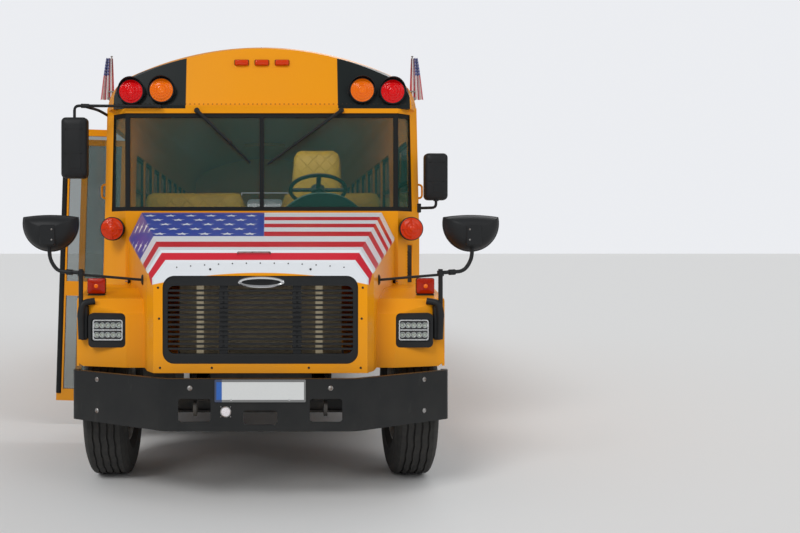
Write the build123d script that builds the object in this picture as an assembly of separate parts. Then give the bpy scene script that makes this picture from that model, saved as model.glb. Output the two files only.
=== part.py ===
"""School bus with a tilting hood ahead of a long passenger body.

Millimetres. The bus stands on Z = 0 and faces -Y. X = 0 is its middle, Y = 0 is halfway along it.
The driver sits on the +X side, and the entrance door is on the -X side.
"""
from build123d import *
import math
import os

# Whole bus
LENGTH = 10900  # front bumper's face to rear bumper's face
BODY_WIDTH = 2440
ROOF_TOP = 3100
NOSE = -LENGTH / 2
TAIL = LENGTH / 2
HALF = BODY_WIDTH / 2

# Passenger body: upright skirt, leaning window band, round corner, shallow crown
SKIRT_BOTTOM = 470
BELT = 1650
SHOULDER_DROP = 500  # from the roof's top to where the round corners start
SHOULDER_IN = 25  # how far the window band leans in
SHOULDER = ROOF_TOP - SHOULDER_DROP
SHOULDER_HALF = HALF - SHOULDER_IN
ROOF_CORNER = 300
WALL = 50
BODY_FRONT = NOSE + 1700
BODY_BACK = TAIL - 110
FLOOR_TOP = 1030
FLOOR_THICK = 60
SILL_STEP = 90  # height of the cross sills under the floor

# Front of the body
COWL_BOTTOM = 800
GLASS_BOTTOM = 1825
HEADER = 35  # from the windshield's top to the cap's lip
GLASS_TOP = SHOULDER - HEADER
SWEEP_SIDE = 190
SWEEP_START = HALF - SWEEP_SIDE  # where the front wall turns back towards the pillars
SWEEP_BACK = 190
FRONT_DEPTH = 330  # the front wall, pillars and cap, up to the side walls
RUBBER = 32
PILLAR = 62
CAP_SLOPE = 170
CAP_INSET = 62
CAP_LEAN = 14  # degrees
CAP_START = BODY_FRONT + 20
LIP_HIGH = 24

# Side windows, each a frame with two panes
WINDOW_PITCH = 711
WINDOW_WIDE = 630
WINDOW_SILL = 1760
WINDOW_HEADER = 200  # from the windows' top to the round corners
WINDOW_HIGH = SHOULDER - WINDOW_HEADER - WINDOW_SILL
WINDOW_START = NOSE + 3230
WINDOW_COUNT = int((BODY_BACK - WALL - WINDOW_START) / WINDOW_PITCH)
WINDOW_CORNER = 45
SASH_BAR = 28
SASH_THICK = 30
GLASS_THICK = 6
DRIVER_WINDOW_Y = NOSE + 2480
DRIVER_WINDOW_WIDE = 760

# Entrance on the -X side, two leaves that stand open
DOOR_FRONT = NOSE + 2040
LEAF_WIDE = 395
LEAF_THICK = 30
LEAF_PROUD = 16  # how far the hinge stands out of the side
LEAF_HINGE_GAP = 6
LEAF_GAP = 12
LEAF_BOTTOM = 330
DOOR_HEADER = 120  # from a door's top to the round corners
LEAF_TOP = SHOULDER - DOOR_HEADER
LEAF_LEAN = 1.8  # degrees
LEAF_BAR = 52
LEAF_RAIL_LOW = 1160
LEAF_RAIL_HIGH = 1275
LEAF_PIN = 8
LEAF_SHOE = 14  # half-width of the shoe that each leaf turns on
DOOR_WIDE = 2 * LEAF_WIDE + 3 * LEAF_GAP
DOOR_BACK = DOOR_FRONT + DOOR_WIDE
STEP_HEIGHTS = (400, 715)
STEP_DEPTH = 230
STEP_PLATE = 25

# Rear emergency door
REAR_DOOR_WIDE = 760
REAR_DOOR_BOTTOM = 1000
REAR_DOOR_TOP = SHOULDER - DOOR_HEADER
REAR_DOOR_THICK = 42
REAR_GAP = 10
REAR_WALL_BOTTOM = 790
REAR_HINGE_IN = 8
REAR_HINGE_OUT = 12
REAR_HINGE_RADIUS = 10
REAR_HINGE_HALF = 50  # half-length of the door's own knuckle
REAR_HINGES = (REAR_DOOR_BOTTOM + 120, REAR_DOOR_TOP - 120)

# Roof hatches
HATCH_SIDE = 600
HATCH_THICK = 45
HATCH_LIFT = 0.3
HATCH_LAP = 30
HATCH_PLACES = (NOSE + 4300, NOSE + 8400)

# Chassis
RAIL_OUT = 430
RAIL_HIGH = 200
RAIL_FLANGE = 75
RAIL_PLATE = 10
RAIL_BOTTOM = FLOOR_TOP - FLOOR_THICK - SILL_STEP - RAIL_HIGH
RAIL_TOP = RAIL_BOTTOM + RAIL_HIGH
CROSS_BARS = 8
HORN_HIGH = 55
HORN_START = NOSE + 215
HORN_END = BODY_BACK - WALL - 10

# Wheels and axles
TYRE_RADIUS = 525
TYRE_WIDE = 280
RIM_RADIUS = 286
RIM_WIDE = 210
RIM_PLATE = 12
WHEEL_IN = 70  # from the body's side to a tyre's outer side
TRACK_HALF = HALF - WHEEL_IN - TYRE_WIDE / 2
DUAL_STEP = 320
DUAL_IN = 15  # from the body's side to the outer rear tyre
DUAL_MIDDLE = HALF - DUAL_IN - TYRE_WIDE / 2 - DUAL_STEP / 2
DUAL_HUB = DUAL_STEP / 2 + 60  # from the middle of a pair to its hub's inner face
SPRING_X = 392
KINGPIN_X = TRACK_HALF - 160
SPINDLE_RADIUS = 32
SEAT_PLAY = 0.3  # running gap at a seat or shaft
FRONT_AXLE = NOSE + 1060
WHEELBASE = 6400
REAR_AXLE = FRONT_AXLE + WHEELBASE
ARCH_RADIUS = 600
LINER_RADIUS = 620
LINER_PLATE = 8
LINER_INNER = 530
HOUSE_ROOM = 70
HOUSE_PLATE = 10
HOUSE_TOP = 2 * TYRE_RADIUS + 130

EXHAUST_X = 590

# Front bumper
BUMPER_BOTTOM = 469
BUMPER_TOP = 776
BUMPER_FLAT = 560
BUMPER_END = HALF - 40
BUMPER_SWEEP = 440
BUMPER_RETURN = 60
BUMPER_BEND = 150
BUMPER_PLATE = 10
BUMPER_FLANGE = 38
REAR_BUMPER_BOTTOM = 490
REAR_BUMPER_HIGH = 290
REAR_BUMPER_WIDE = BODY_WIDTH - 140
REAR_BUMPER_DEEP = 90
TOW_EYE = (-385, 385)
TOW_EYE_Z = 592
TOW_EYE_BACK = 75  # from the bumper's face
TOW_EYE_RADIUS = 46
TOW_EYE_BORE = 24
TOW_EYE_THICK = 20

# Hood
HOOD_FRONT = NOSE + 130
HOOD_BACK = BODY_FRONT - 18
HOOD_BOTTOM = 794
HOOD_WALL = 16
# one row a section: Y, half-width of the top, height of the top, half-width and height of the shoulder
HOOD_SECTIONS = (
    (HOOD_FRONT, 560, 1455, 640, 1350),
    (HOOD_FRONT + 110, 610, 1530, 690, 1400),
    (HOOD_BACK, HALF - 315, 1812, HALF - 220, 1620),
)
POD_FRONT = NOSE + 405
POD_SWEEP = 110
POD_INNER = 700
POD_OUTER = HALF - 50
POD_TOP_FRONT = 1190
POD_TOP_BACK = 1270
GRILLE_HALF = 585
GRILLE_BOTTOM = 849
GRILLE_TOP = 1376
GRILLE_CORNER = 70
GRILLE_BAND = 60
GRILLE_SLATS = 13
GRILLE_DEPTH = 34
HINGE_Y = NOSE + 185
HINGE_Z = 820
HINGE_X = 400
HINGE_RADIUS = 16
HINGE_BOSS = 30

# Lamps and mirrors
HEADLAMP_X = POD_OUTER - 206
HEADLAMP_Z = 1026
HEADLAMP_BEZEL = 236
HEADLAMP_LENS = (200, 142)
LAMP_RADIUS = 89
RED_LAMP = (HALF - 230, SHOULDER + 130)
AMBER_LAMP = (HALF - 460, SHOULDER + 140)
HOOD_LAMP_X = POD_OUTER - 100
COWL_LAMP_X = HALF - 95
COWL_LAMP_Z = GLASS_BOTTOM - 135
MARKER_Z = ROOF_TOP - 135
MARKER_STEP = 155
MIRROR_SIDE_X = HALF + 190
MIRROR_RIGHT = (200, 460)
MIRROR_LEFT = (180, 361)
MIRROR_LEFT_IN = 75
MIRROR_DEEP = 90
MIRROR_TUBE = 13
CROSS_MIRROR_X = POD_OUTER + 175
CROSS_MIRROR_Z = 1700
CROSS_MIRROR_RADIUS = 180
CROSS_MIRROR_DEEP = 110
CROSS_MIRROR_CROWN = 40  # how far the flat upper edge is above the shell's middle
CROSS_ARM_Z = 1390
CROSS_FOOT_Z = 1340
CROSS_MIRROR_Y = NOSE + 560
POST_X = POD_OUTER - 35
POST_Y = NOSE + 462

# Seats
SEAT_PITCH = WINDOW_PITCH
SEAT_INNER = 190
SEAT_OUTER = HALF - WALL - 50
SEAT_START = NOSE + 3650
SEAT_ROWS = int((BODY_BACK - 2 * WALL - SEAT_START) / SEAT_PITCH) + 1
CUSHION_TOP = 440
CUSHION_THICK = 130
CUSHION_DEEP = 400
BACK_TOP = 1050
BACK_THICK = 95
DRIVER_X = HALF - 750
DRIVER_BACK_TOP = 1330  # above the floor
DASH_HUMP = 190  # above the dashboard's top
WHEEL_OVER_DASH = 230
DRIVER_Y = NOSE + 2720  # front of the driver's backrest
DASH_Y = BODY_FRONT + 190
DASH_DEEP = 290
DASH_BOTTOM = 1420
DASH_TOP = GLASS_BOTTOM - 35
DASH_RIGHT = 500
COLUMN_TILT = 28  # degrees
RUB_RAIL = 14
STOP_ARM_Y = NOSE + 3000
STOP_ARM_Z = 1400
STOP_ARM_OUT = 22
STOP_ARM_PIN = 9


def block(x0, x1, y0, y1, z0, z1):
    """A box between two corners."""
    return Pos((x0 + x1) / 2, (y0 + y1) / 2, (z0 + z1) / 2) * Box(abs(x1 - x0), abs(y1 - y0), abs(z1 - z0))


def rod(start, end, radius):
    """A round bar from one point to another."""
    run = Vector(end) - Vector(start)
    return Solid.make_cylinder(radius, run.length, Plane(origin=start, z_dir=run))


def pair(shape):
    """A shape and its mirror image across the middle of the bus."""
    return [shape, mirror(shape, about=Plane.YZ)]


def joined(shapes):
    """Several shapes that touch, as one."""
    shapes = list(shapes)
    whole = shapes[0]
    for shape in shapes[1:]:
        whole = whole + shape
    return whole


def along_y(face, start, end):
    """A face drawn as (x, z), carried along Y."""
    plane = Plane(origin=(0, end, 0), x_dir=(1, 0, 0), z_dir=(0, -1, 0))
    return extrude(plane * face, amount=end - start, dir=(0, -1, 0))


def side_port(y, z, wide, high, corner, x0, x1):
    """A plate or hole with round corners that faces along X, centred at (y, z)."""
    plane = Plane(origin=(x0, y, z), x_dir=(0, 1, 0), z_dir=(1, 0, 0))
    return extrude(plane * RectangleRounded(wide, high, corner), amount=x1 - x0)


def end_port(x, z, wide, high, corner, y0, y1):
    """A plate or hole with round corners that faces along Y, centred at (x, z)."""
    return along_y(Pos(x, z) * RectangleRounded(wide, high, corner), y0, y1)


def section(inset, bottom=SKIRT_BOTTOM):
    """The outline across the body, moved in from its outer skin by inset."""
    corner_x = SHOULDER_HALF - ROOF_CORNER
    drop = ROOF_TOP - SHOULDER
    crown = (corner_x**2 + drop**2 - ROOF_CORNER**2) / (2 * (drop - ROOF_CORNER))
    crown_z = ROOF_TOP - crown
    turn = math.atan2(SHOULDER - crown_z, corner_x)
    small = ROOF_CORNER - inset
    meet = (math.cos(turn) * (crown - inset), crown_z + math.sin(turn) * (crown - inset))
    middle = (corner_x + small * math.cos(turn / 2), SHOULDER + small * math.sin(turn / 2))
    half, top = HALF - inset, ROOF_TOP - inset
    shoulder = SHOULDER_HALF - inset
    edges = (
        Polyline((-shoulder, SHOULDER), (-half, BELT), (-half, bottom), (half, bottom), (half, BELT), (shoulder, SHOULDER))
        + ThreePointArc((shoulder, SHOULDER), middle, meet)
        + ThreePointArc(meet, (0, top), (-meet[0], meet[1]))
        + ThreePointArc((-meet[0], meet[1]), (-middle[0], middle[1]), (-shoulder, SHOULDER))
    )
    return make_face(edges)


def wall_x(z):
    """Half-width of the body's skin at a height below the shoulder."""
    lean = (HALF - SHOULDER_HALF) / (SHOULDER - BELT)
    return HALF - max(0, z - BELT) * lean


def save(name, shape):
    """Write one sub-part."""
    parts = shape if isinstance(shape, list) else [shape]
    solids = [solid for part in parts for solid in part.solids()]
    export_step(solids[0] if len(solids) == 1 else Compound(children=solids), f"parts/{name}.step")


def window_places():
    """Middles of the side windows along Y."""
    return [WINDOW_START + WINDOW_PITCH * (i + 0.5) for i in range(WINDOW_COUNT)]


def side_openings():
    """Y, height of the middle, width and height of each window on each side, as rows (side, y, z, wide, high)."""
    middle = WINDOW_SILL + WINDOW_HIGH / 2
    rows = [(side, y, middle, WINDOW_WIDE, WINDOW_HIGH) for side in (-1, 1) for y in window_places()]
    return rows + [(1, DRIVER_WINDOW_Y, middle, DRIVER_WINDOW_WIDE, WINDOW_HIGH)]


def pane_rows(z, high):
    """Height of the middle and height of the upper and the lower pane of one window."""
    inner = high - 3 * SASH_BAR
    upper, lower = inner * 0.5, inner * 0.5
    return ((z + high / 2 - SASH_BAR - upper / 2, upper), (z - high / 2 + SASH_BAR + lower / 2, lower))


def make_walls():
    """Left and right walls with their windows, the doorway and the rear wheel arches cut."""
    start = BODY_FRONT + FRONT_DEPTH
    shell = along_y(section(0), start, BODY_BACK) - along_y(section(WALL, SKIRT_BOTTOM - 1), start, BODY_BACK)
    below = block(-HALF - 1, HALF + 1, start - 1, BODY_BACK + 1, SKIRT_BOTTOM - 1, SHOULDER)
    ring = shell & below
    arch = Plane(origin=(-HALF - 1, REAR_AXLE, TYRE_RADIUS), z_dir=(1, 0, 0))
    ring -= extrude(arch * Circle(ARCH_RADIUS), amount=BODY_WIDTH + 2)
    for side, y, z, wide, high in side_openings():
        ring -= side_port(y, z, wide, high, WINDOW_CORNER, *sorted((side * (HALF + 1), side * (HALF - 120))))
    ring -= block(-HALF - 1, -HALF + 200, start - 1, DOOR_BACK, SKIRT_BOTTOM - 2, LEAF_TOP + LEAF_GAP)
    save("left_wall", ring & block(0, HALF + 1, start, BODY_BACK, 0, SHOULDER))
    save("right_wall", ring & block(-HALF - 1, 0, start, BODY_BACK, 0, SHOULDER))


def make_windows():
    """Frames and panes of all side windows."""
    sashes, panes = [], []
    for side, y, z, wide, high in side_openings():
        middle = side * (wall_x(z) - WALL / 2)
        sash = side_port(y, z, wide, high, WINDOW_CORNER, middle - SASH_THICK / 2, middle + SASH_THICK / 2)
        for pane_z, pane_high in pane_rows(z, high):
            shape = (y, pane_z, wide - 2 * SASH_BAR, pane_high, WINDOW_CORNER - SASH_BAR)
            sash -= side_port(*shape, middle - SASH_THICK, middle + SASH_THICK)
            panes.append(side_port(*shape, middle - GLASS_THICK / 2, middle + GLASS_THICK / 2))
        sashes.append(sash)
    save("window_sashes", sashes)
    return panes


def hatch_hole(y, grow):
    """The square space of a roof hatch."""
    side = HATCH_SIDE + 2 * grow
    return block(-side / 2, side / 2, y - side / 2, y + side / 2, SHOULDER + 100, ROOF_TOP + 200)


def make_roof():
    """Roof shell with its two hatch holes, and the two lids."""
    start = BODY_FRONT + FRONT_DEPTH
    shell = along_y(section(0), start, BODY_BACK) - along_y(section(WALL), start - 1, BODY_BACK + 1)
    roof = shell & block(-HALF, HALF, start, BODY_BACK, SHOULDER, ROOF_TOP)
    for number, y in enumerate(HATCH_PLACES):
        roof -= hatch_hole(y, 0)
        lid = along_y(section(-HATCH_LIFT - HATCH_THICK), y - HATCH_SIDE, y + HATCH_SIDE)
        lid -= along_y(section(-HATCH_LIFT), y - HATCH_SIDE - 1, y + HATCH_SIDE + 1)
        lid &= hatch_hole(y, HATCH_LAP)
        save(("hatch_front", "hatch_rear")[number], lid)
    save("roof", roof)


def front_plan(inset):
    """Outline of the body's front seen from above, moved in by inset."""
    half, front = HALF - inset, BODY_FRONT + inset
    start = SWEEP_START - inset * 0.4
    back = BODY_FRONT + FRONT_DEPTH
    return Polyline(
        (-half, back), (-half, BODY_FRONT + SWEEP_BACK), (-start, front), (start, front),
        (half, BODY_FRONT + SWEEP_BACK), (half, back), close=True,
    )


def front_wall(inset, bottom, top):
    """The front of the body as a solid of one outline, cut to the body's leaning sides."""
    slab = extrude(Pos(0, 0, bottom) * make_face(front_plan(inset)), amount=top - bottom)
    return slab & along_y(section(inset), BODY_FRONT - 1, BODY_FRONT + FRONT_DEPTH)


def windshield_hole():
    """The space of the windshield with its black frame."""
    slab = extrude(Pos(0, 0, GLASS_BOTTOM) * make_face(front_plan(-40)), amount=GLASS_TOP - GLASS_BOTTOM)
    return slab & along_y(section(PILLAR), BODY_FRONT - 60, BODY_FRONT + FRONT_DEPTH - PILLAR)


def cap_solid(inset=0):
    """The roof cap's form: a face that leans back from its lip, with its edge turned back to the roof's outline."""
    first, last = CAP_START + inset, CAP_START + CAP_SLOPE + inset
    back = BODY_FRONT + FRONT_DEPTH + (1 if inset else 0)
    planes = [Plane(origin=(0, y, 0), x_dir=(1, 0, 0), z_dir=(0, -1, 0)) for y in (first, last)]
    form = loft([planes[0] * section(CAP_INSET + inset), planes[1] * section(inset)], ruled=True)
    form += along_y(section(inset), last, back)
    rise = ROOF_TOP - SHOULDER
    lean = rise * math.tan(math.radians(CAP_LEAN))
    side = Polyline((first, SHOULDER - (1 if inset else 0)), (first + lean, ROOF_TOP), (back, ROOF_TOP),
                    (back, SHOULDER - (1 if inset else 0)), close=True)
    plane = Plane(origin=(-HALF, 0, 0), x_dir=(0, 1, 0), z_dir=(1, 0, 0))
    return form & extrude(plane * make_face(side), amount=BODY_WIDTH)


def make_front():
    """Cowl with the pillars, the windshield's frame and panes, and the roof cap."""
    back = BODY_FRONT + FRONT_DEPTH
    wall = front_wall(0, COWL_BOTTOM, SHOULDER) - front_wall(WALL, COWL_BOTTOM - 1, SHOULDER + 1)
    skirts = block(-HALF, HALF, back - 140, back, SKIRT_BOTTOM, COWL_BOTTOM)
    skirts -= block(-HALF + WALL, HALF - WALL, back - 141, back + 1, 0, COWL_BOTTOM)
    door = block(-HALF - 1, -HALF + 200, DOOR_FRONT, back + 1, SKIRT_BOTTOM - 2, LEAF_TOP + LEAF_GAP)
    driver = side_port(DRIVER_WINDOW_Y, WINDOW_SILL + WINDOW_HIGH / 2, DRIVER_WINDOW_WIDE, WINDOW_HIGH,
                       WINDOW_CORNER, HALF - 200, HALF + 1)
    notch = block(-RAIL_OUT - 15, RAIL_OUT + 15, BODY_FRONT - 1, BODY_FRONT + WALL + 1, 0, RAIL_TOP + 8)
    save("cowl", (wall + skirts) - windshield_hole() - door - driver - notch)

    ring = front_wall(8, GLASS_BOTTOM, GLASS_TOP) - front_wall(8 + RUBBER, GLASS_BOTTOM - 1, GLASS_TOP + 1)
    ring &= windshield_hole()
    holes = []
    # one row a pane: from X to X, on the right half
    for x0, x1 in ((RUBBER / 2, SWEEP_START - RUBBER), (SWEEP_START + 4, HALF - PILLAR - RUBBER)):
        holes += pair(block(x0, x1, BODY_FRONT - 50, back, GLASS_BOTTOM + RUBBER, GLASS_TOP - RUBBER))
    frame = ring
    for hole in holes:
        frame -= hole
    save("windshield_frame", frame)
    sheet = front_wall(18, GLASS_BOTTOM, GLASS_TOP) - front_wall(18 + GLASS_THICK, GLASS_BOTTOM - 1, GLASS_TOP + 1)
    save("windshield_glass", [sheet & hole for hole in holes])

    cap = cap_solid() - cap_solid(WALL)
    lip = extrude(Pos(0, 0, SHOULDER) * make_face(front_plan(0)), amount=LIP_HIGH)
    lip -= extrude(Pos(0, 0, SHOULDER - 1) * make_face(front_plan(CAP_INSET + 30)), amount=LIP_HIGH + 2)
    lip &= along_y(section(0), BODY_FRONT - 60, CAP_START + CAP_SLOPE)
    save("front_cap", cap + lip)


def wheel_house(side, grow):
    """The space over the rear wheels of one side, made larger by grow."""
    inner = DUAL_MIDDLE - DUAL_STEP / 2 - TYRE_WIDE / 2 - HOUSE_ROOM
    x0, x1 = sorted((side * (inner - grow), side * HALF))
    reach = LINER_RADIUS + grow
    return block(x0, x1, REAR_AXLE - reach, REAR_AXLE + reach, 0, HOUSE_TOP + grow)


def make_floor():
    """Floor with its cross sills, the wheel houses and the entrance steps."""
    front, back = BODY_FRONT + WALL, BODY_BACK - WALL
    inner = HALF - WALL
    under = FLOOR_TOP - FLOOR_THICK
    floor = extrude(Pos(0, 0, under) * make_face(front_plan(WALL)), amount=FLOOR_THICK)
    floor += block(-inner, inner, BODY_FRONT + FRONT_DEPTH, back, under, FLOOR_TOP)
    sills = int((back - front) / 520)
    for i in range(sills):
        y = front + 260 + i * (back - front - 400) / (sills - 1)
        reach = RAIL_OUT + 40 if abs(y - REAR_AXLE) < LINER_RADIUS + 80 or y < DOOR_BACK + 80 else inner - 20
        floor += block(-reach, reach, y - 30, y + 30, RAIL_TOP, FLOOR_TOP - FLOOR_THICK)
    for side in (-1, 1):
        floor += wheel_house(side, HOUSE_PLATE) & block(-inner, inner, front, back, under, ROOF_TOP)
        floor -= wheel_house(side, 0)
    well_in = -inner + STEP_DEPTH * 2 + STEP_PLATE
    well = block(-inner, well_in, DOOR_FRONT, DOOR_BACK, STEP_HEIGHTS[0] - STEP_PLATE, FLOOR_TOP)
    floor -= well
    hollow = block(-inner - 1, well_in - STEP_PLATE, DOOR_FRONT + STEP_PLATE, DOOR_BACK - STEP_PLATE,
                   STEP_HEIGHTS[0], FLOOR_TOP + 1)
    tread = block(-inner + STEP_DEPTH, well_in, DOOR_FRONT, DOOR_BACK, STEP_HEIGHTS[0], STEP_HEIGHTS[1])
    save("body_floor", floor)
    steps = (well - hollow) + (tread & well)
    shoe_top = LEAF_BOTTOM - (LEAF_THICK + LEAF_PIN) * math.sin(math.radians(LEAF_LEAN)) - SEAT_PLAY
    for y in (DOOR_FRONT + LEAF_GAP + LEAF_SHOE, DOOR_BACK - LEAF_GAP - LEAF_SHOE):
        y0, y1 = y - 2 * LEAF_SHOE, y + 2 * LEAF_SHOE
        steps += block(-HALF - LEAF_PROUD - LEAF_SHOE, -inner + 60, y0, y1, shoe_top - 12, shoe_top)
        steps += block(-inner + 10, -inner + 60, y0, y1, shoe_top - 12, STEP_HEIGHTS[0] - STEP_PLATE + 1)
    save("entrance_steps", steps)


def make_rear(panes):
    """Rear wall, the emergency door in it and their panes."""
    wall = along_y(section(0), BODY_BACK, BODY_BACK + WALL) + along_y(section(WALL), BODY_BACK - WALL, BODY_BACK)
    wall &= block(-HALF, HALF, BODY_BACK - WALL, BODY_BACK + WALL, REAR_WALL_BOTTOM, ROOF_TOP)
    wall -= block(-RAIL_OUT - 15, RAIL_OUT + 15, BODY_BACK - 2 * WALL, BODY_BACK + 2 * WALL, 0, RAIL_TOP + 8)
    half, thick, grow = REAR_DOOR_WIDE / 2, REAR_DOOR_THICK, REAR_GAP
    wall -= block(-half - grow, half + grow, BODY_BACK - 2 * WALL, BODY_BACK + 2 * WALL,
                  REAR_DOOR_BOTTOM - grow, REAR_DOOR_TOP + grow)
    high, y0, y1 = 560, BODY_BACK + WALL / 2, BODY_BACK + WALL / 2 + GLASS_THICK
    for x in (-1, 1):
        shape = (x * (HALF - 460), GLASS_TOP - 200 - high / 2, 480, high, 60)
        wall -= end_port(*shape, BODY_BACK - 2 * WALL, BODY_BACK + 2 * WALL)
        panes.append(end_port(*shape, y0, y1))
    face = BODY_BACK + WALL
    hinge_x, hinge_y = -half + REAR_HINGE_IN, face + REAR_HINGE_OUT
    for z in REAR_HINGES:
        z0, z1 = z + REAR_HINGE_HALF + SEAT_PLAY, z + REAR_HINGE_HALF + 36
        wall += rod((hinge_x, hinge_y, z0), (hinge_x, hinge_y, z1), REAR_HINGE_RADIUS)
        wall += block(-half - grow - 44, hinge_x, face + 3, hinge_y + 4, z0, z1)
        wall += block(-half - grow - 44, -half - grow, face - 1, face + 4, z0, z1)
    save("rear_wall", wall)

    door = block(-half, half, face - thick, face, REAR_DOOR_BOTTOM, REAR_DOOR_TOP)
    door_panes = []
    # one row a pane: height of the middle, height
    for z, pane_high in ((REAR_DOOR_TOP - 380, 560), (REAR_DOOR_BOTTOM + 330, 420)):
        shape = (0, z, REAR_DOOR_WIDE - 180, pane_high, 60)
        door -= end_port(*shape, face - 2 * thick, face + thick)
        door_panes.append(end_port(*shape, face - thick / 2, face - thick / 2 + GLASS_THICK))
    for z in REAR_HINGES:
        door += rod((hinge_x, hinge_y, z - REAR_HINGE_HALF), (hinge_x, hinge_y, z + REAR_HINGE_HALF), REAR_HINGE_RADIUS)
        door += block(hinge_x, hinge_x + 50, face - 1, hinge_y, z - REAR_HINGE_HALF, z + REAR_HINGE_HALF)
    door += block(half - 120, half - 60, face, face + 40, REAR_DOOR_BOTTOM + 640, REAR_DOOR_BOTTOM + 800)
    save("rear_door", door)
    save("rear_door_glass", door_panes)
    return panes


def leaf_plane(front):
    """Where a leaf's own x (outward), y (thickness) and z (up the leaning hinge) point, standing open."""
    lean = math.radians(LEAF_LEAN)
    y = DOOR_FRONT + LEAF_GAP if front else DOOR_BACK - LEAF_GAP
    up = (math.sin(lean), 0, math.cos(lean))
    out = (-math.cos(lean), 0, math.sin(lean))
    return Plane(origin=(-HALF - LEAF_PROUD, y, LEAF_BOTTOM), x_dir=out, z_dir=up)


def make_entrance():
    """The two leaves of the entrance door, standing open, and their panes."""
    high, lean = LEAF_TOP - LEAF_BOTTOM, math.radians(LEAF_LEAN)
    pin_top = (high + LEAF_GAP - SEAT_PLAY) / math.cos(lean) - LEAF_PIN * math.tan(lean)
    for front in (True, False):
        place = leaf_plane(front)
        # the leaf's own y points to -Y, so the front leaf's thickness is towards +Y
        t0, t1 = (-LEAF_THICK, 0) if front else (0, LEAF_THICK)
        leaf = block(LEAF_HINGE_GAP, LEAF_WIDE, t0, t1, 0, high)
        leaf += block(0, LEAF_HINGE_GAP + 1, *sorted((0, (t0 + t1) / 2)), 0, high) + rod((0, 0, 0), (0, 0, pin_top), LEAF_PIN)
        panes = []
        for z0, z1 in ((LEAF_BAR + 40, LEAF_RAIL_LOW - LEAF_BOTTOM), (LEAF_RAIL_HIGH - LEAF_BOTTOM, high - LEAF_BAR)):
            hole = block(LEAF_BAR, LEAF_WIDE - LEAF_BAR, t0 - 1, t1 + 1, z0, z1)
            leaf -= hole
            middle = (t0 + t1) / 2
            panes.append(block(LEAF_BAR, LEAF_WIDE - LEAF_BAR, middle - 3, middle + 3, z0, z1))
        name = "front" if front else "rear"
        save(f"entrance_leaf_{name}", place.location * leaf)
        save(f"entrance_glass_{name}", [place.location * pane for pane in panes])


def make_chassis():
    """Frame rails with the hood's hinge lugs and the tow eyes, and the cross members between the rails."""
    bottom, top, front, back = RAIL_BOTTOM, RAIL_TOP, HORN_START, HORN_END
    reach = RAIL_OUT - RAIL_PLATE
    members, rails = [], []
    for i in range(CROSS_BARS):
        y = front + 40 + i * (back - front - 80) / (CROSS_BARS - 1)
        members.append(block(-reach, reach, y - 30, y + 30, bottom + RAIL_HIGH / 2, top - RAIL_PLATE))
    save("cross_members", members)
    for side in (-1, 1):
        outer, inner = side * RAIL_OUT, side * (RAIL_OUT - RAIL_FLANGE)
        x0, x1 = sorted((outer, inner))
        rail = block(x0, x1, front, back, bottom, top)
        c0, c1 = sorted((side * (RAIL_OUT - RAIL_PLATE), inner - side))
        rail -= block(c0, c1, front - 1, back + 1, bottom + RAIL_PLATE, top - RAIL_PLATE)
        rail += block(x0, x1, NOSE + BUMPER_FLANGE, front, bottom, bottom + HORN_HIGH)
        rail += block(x0, x1, back, TAIL - BUMPER_PLATE, bottom, bottom + HORN_HIGH)
        x0, x1 = sorted((side * (HINGE_X - 12), side * (HINGE_X + 12)))
        rail += block(x0, x1, HINGE_Y + 16, HINGE_Y + 39, bottom + HORN_HIGH - 1, HINGE_Z)
        rail += rod((x0, HINGE_Y, HINGE_Z), (x1, HINGE_Y, HINGE_Z), HINGE_BOSS)
        rail += rod((side * (HINGE_X - 12), HINGE_Y, HINGE_Z), (side * (HINGE_X + 50), HINGE_Y, HINGE_Z), HINGE_RADIUS)
        rails.append(rail)
    for rail, x in zip(rails, TOW_EYE):
        x0, x1, y = x - TOW_EYE_THICK / 2, x + TOW_EYE_THICK / 2, NOSE + TOW_EYE_BACK
        rail += rod((x0, y, TOW_EYE_Z), (x1, y, TOW_EYE_Z), TOW_EYE_RADIUS)
        rail += block(x0, x1, y, y + 2 * TOW_EYE_RADIUS, TOW_EYE_Z - TOW_EYE_RADIUS / 2, bottom + 1)
        rail -= rod((x0 - 1, y, TOW_EYE_Z), (x1 + 1, y, TOW_EYE_Z), TOW_EYE_BORE)
        members.append(rail)
    save("frame_rails", members[CROSS_BARS:])


def spring(x, axle, z, half_span, up):
    """A leaf spring as a shallow bow between its two hangers on a rail."""
    upper = ThreePointArc((-half_span, up), (0, 0), (half_span, up))
    lower = ThreePointArc((-half_span, up - 22), (0, -48), (half_span, up - 22))
    ends = Line((half_span, up), (half_span, up - 22)) + Line((-half_span, up - 22), (-half_span, up))
    face = make_face(upper + lower + ends)
    plane = Plane(origin=(x - 38, axle, z), x_dir=(0, 1, 0), z_dir=(1, 0, 0))
    return extrude(plane * face, amount=76)


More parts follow.
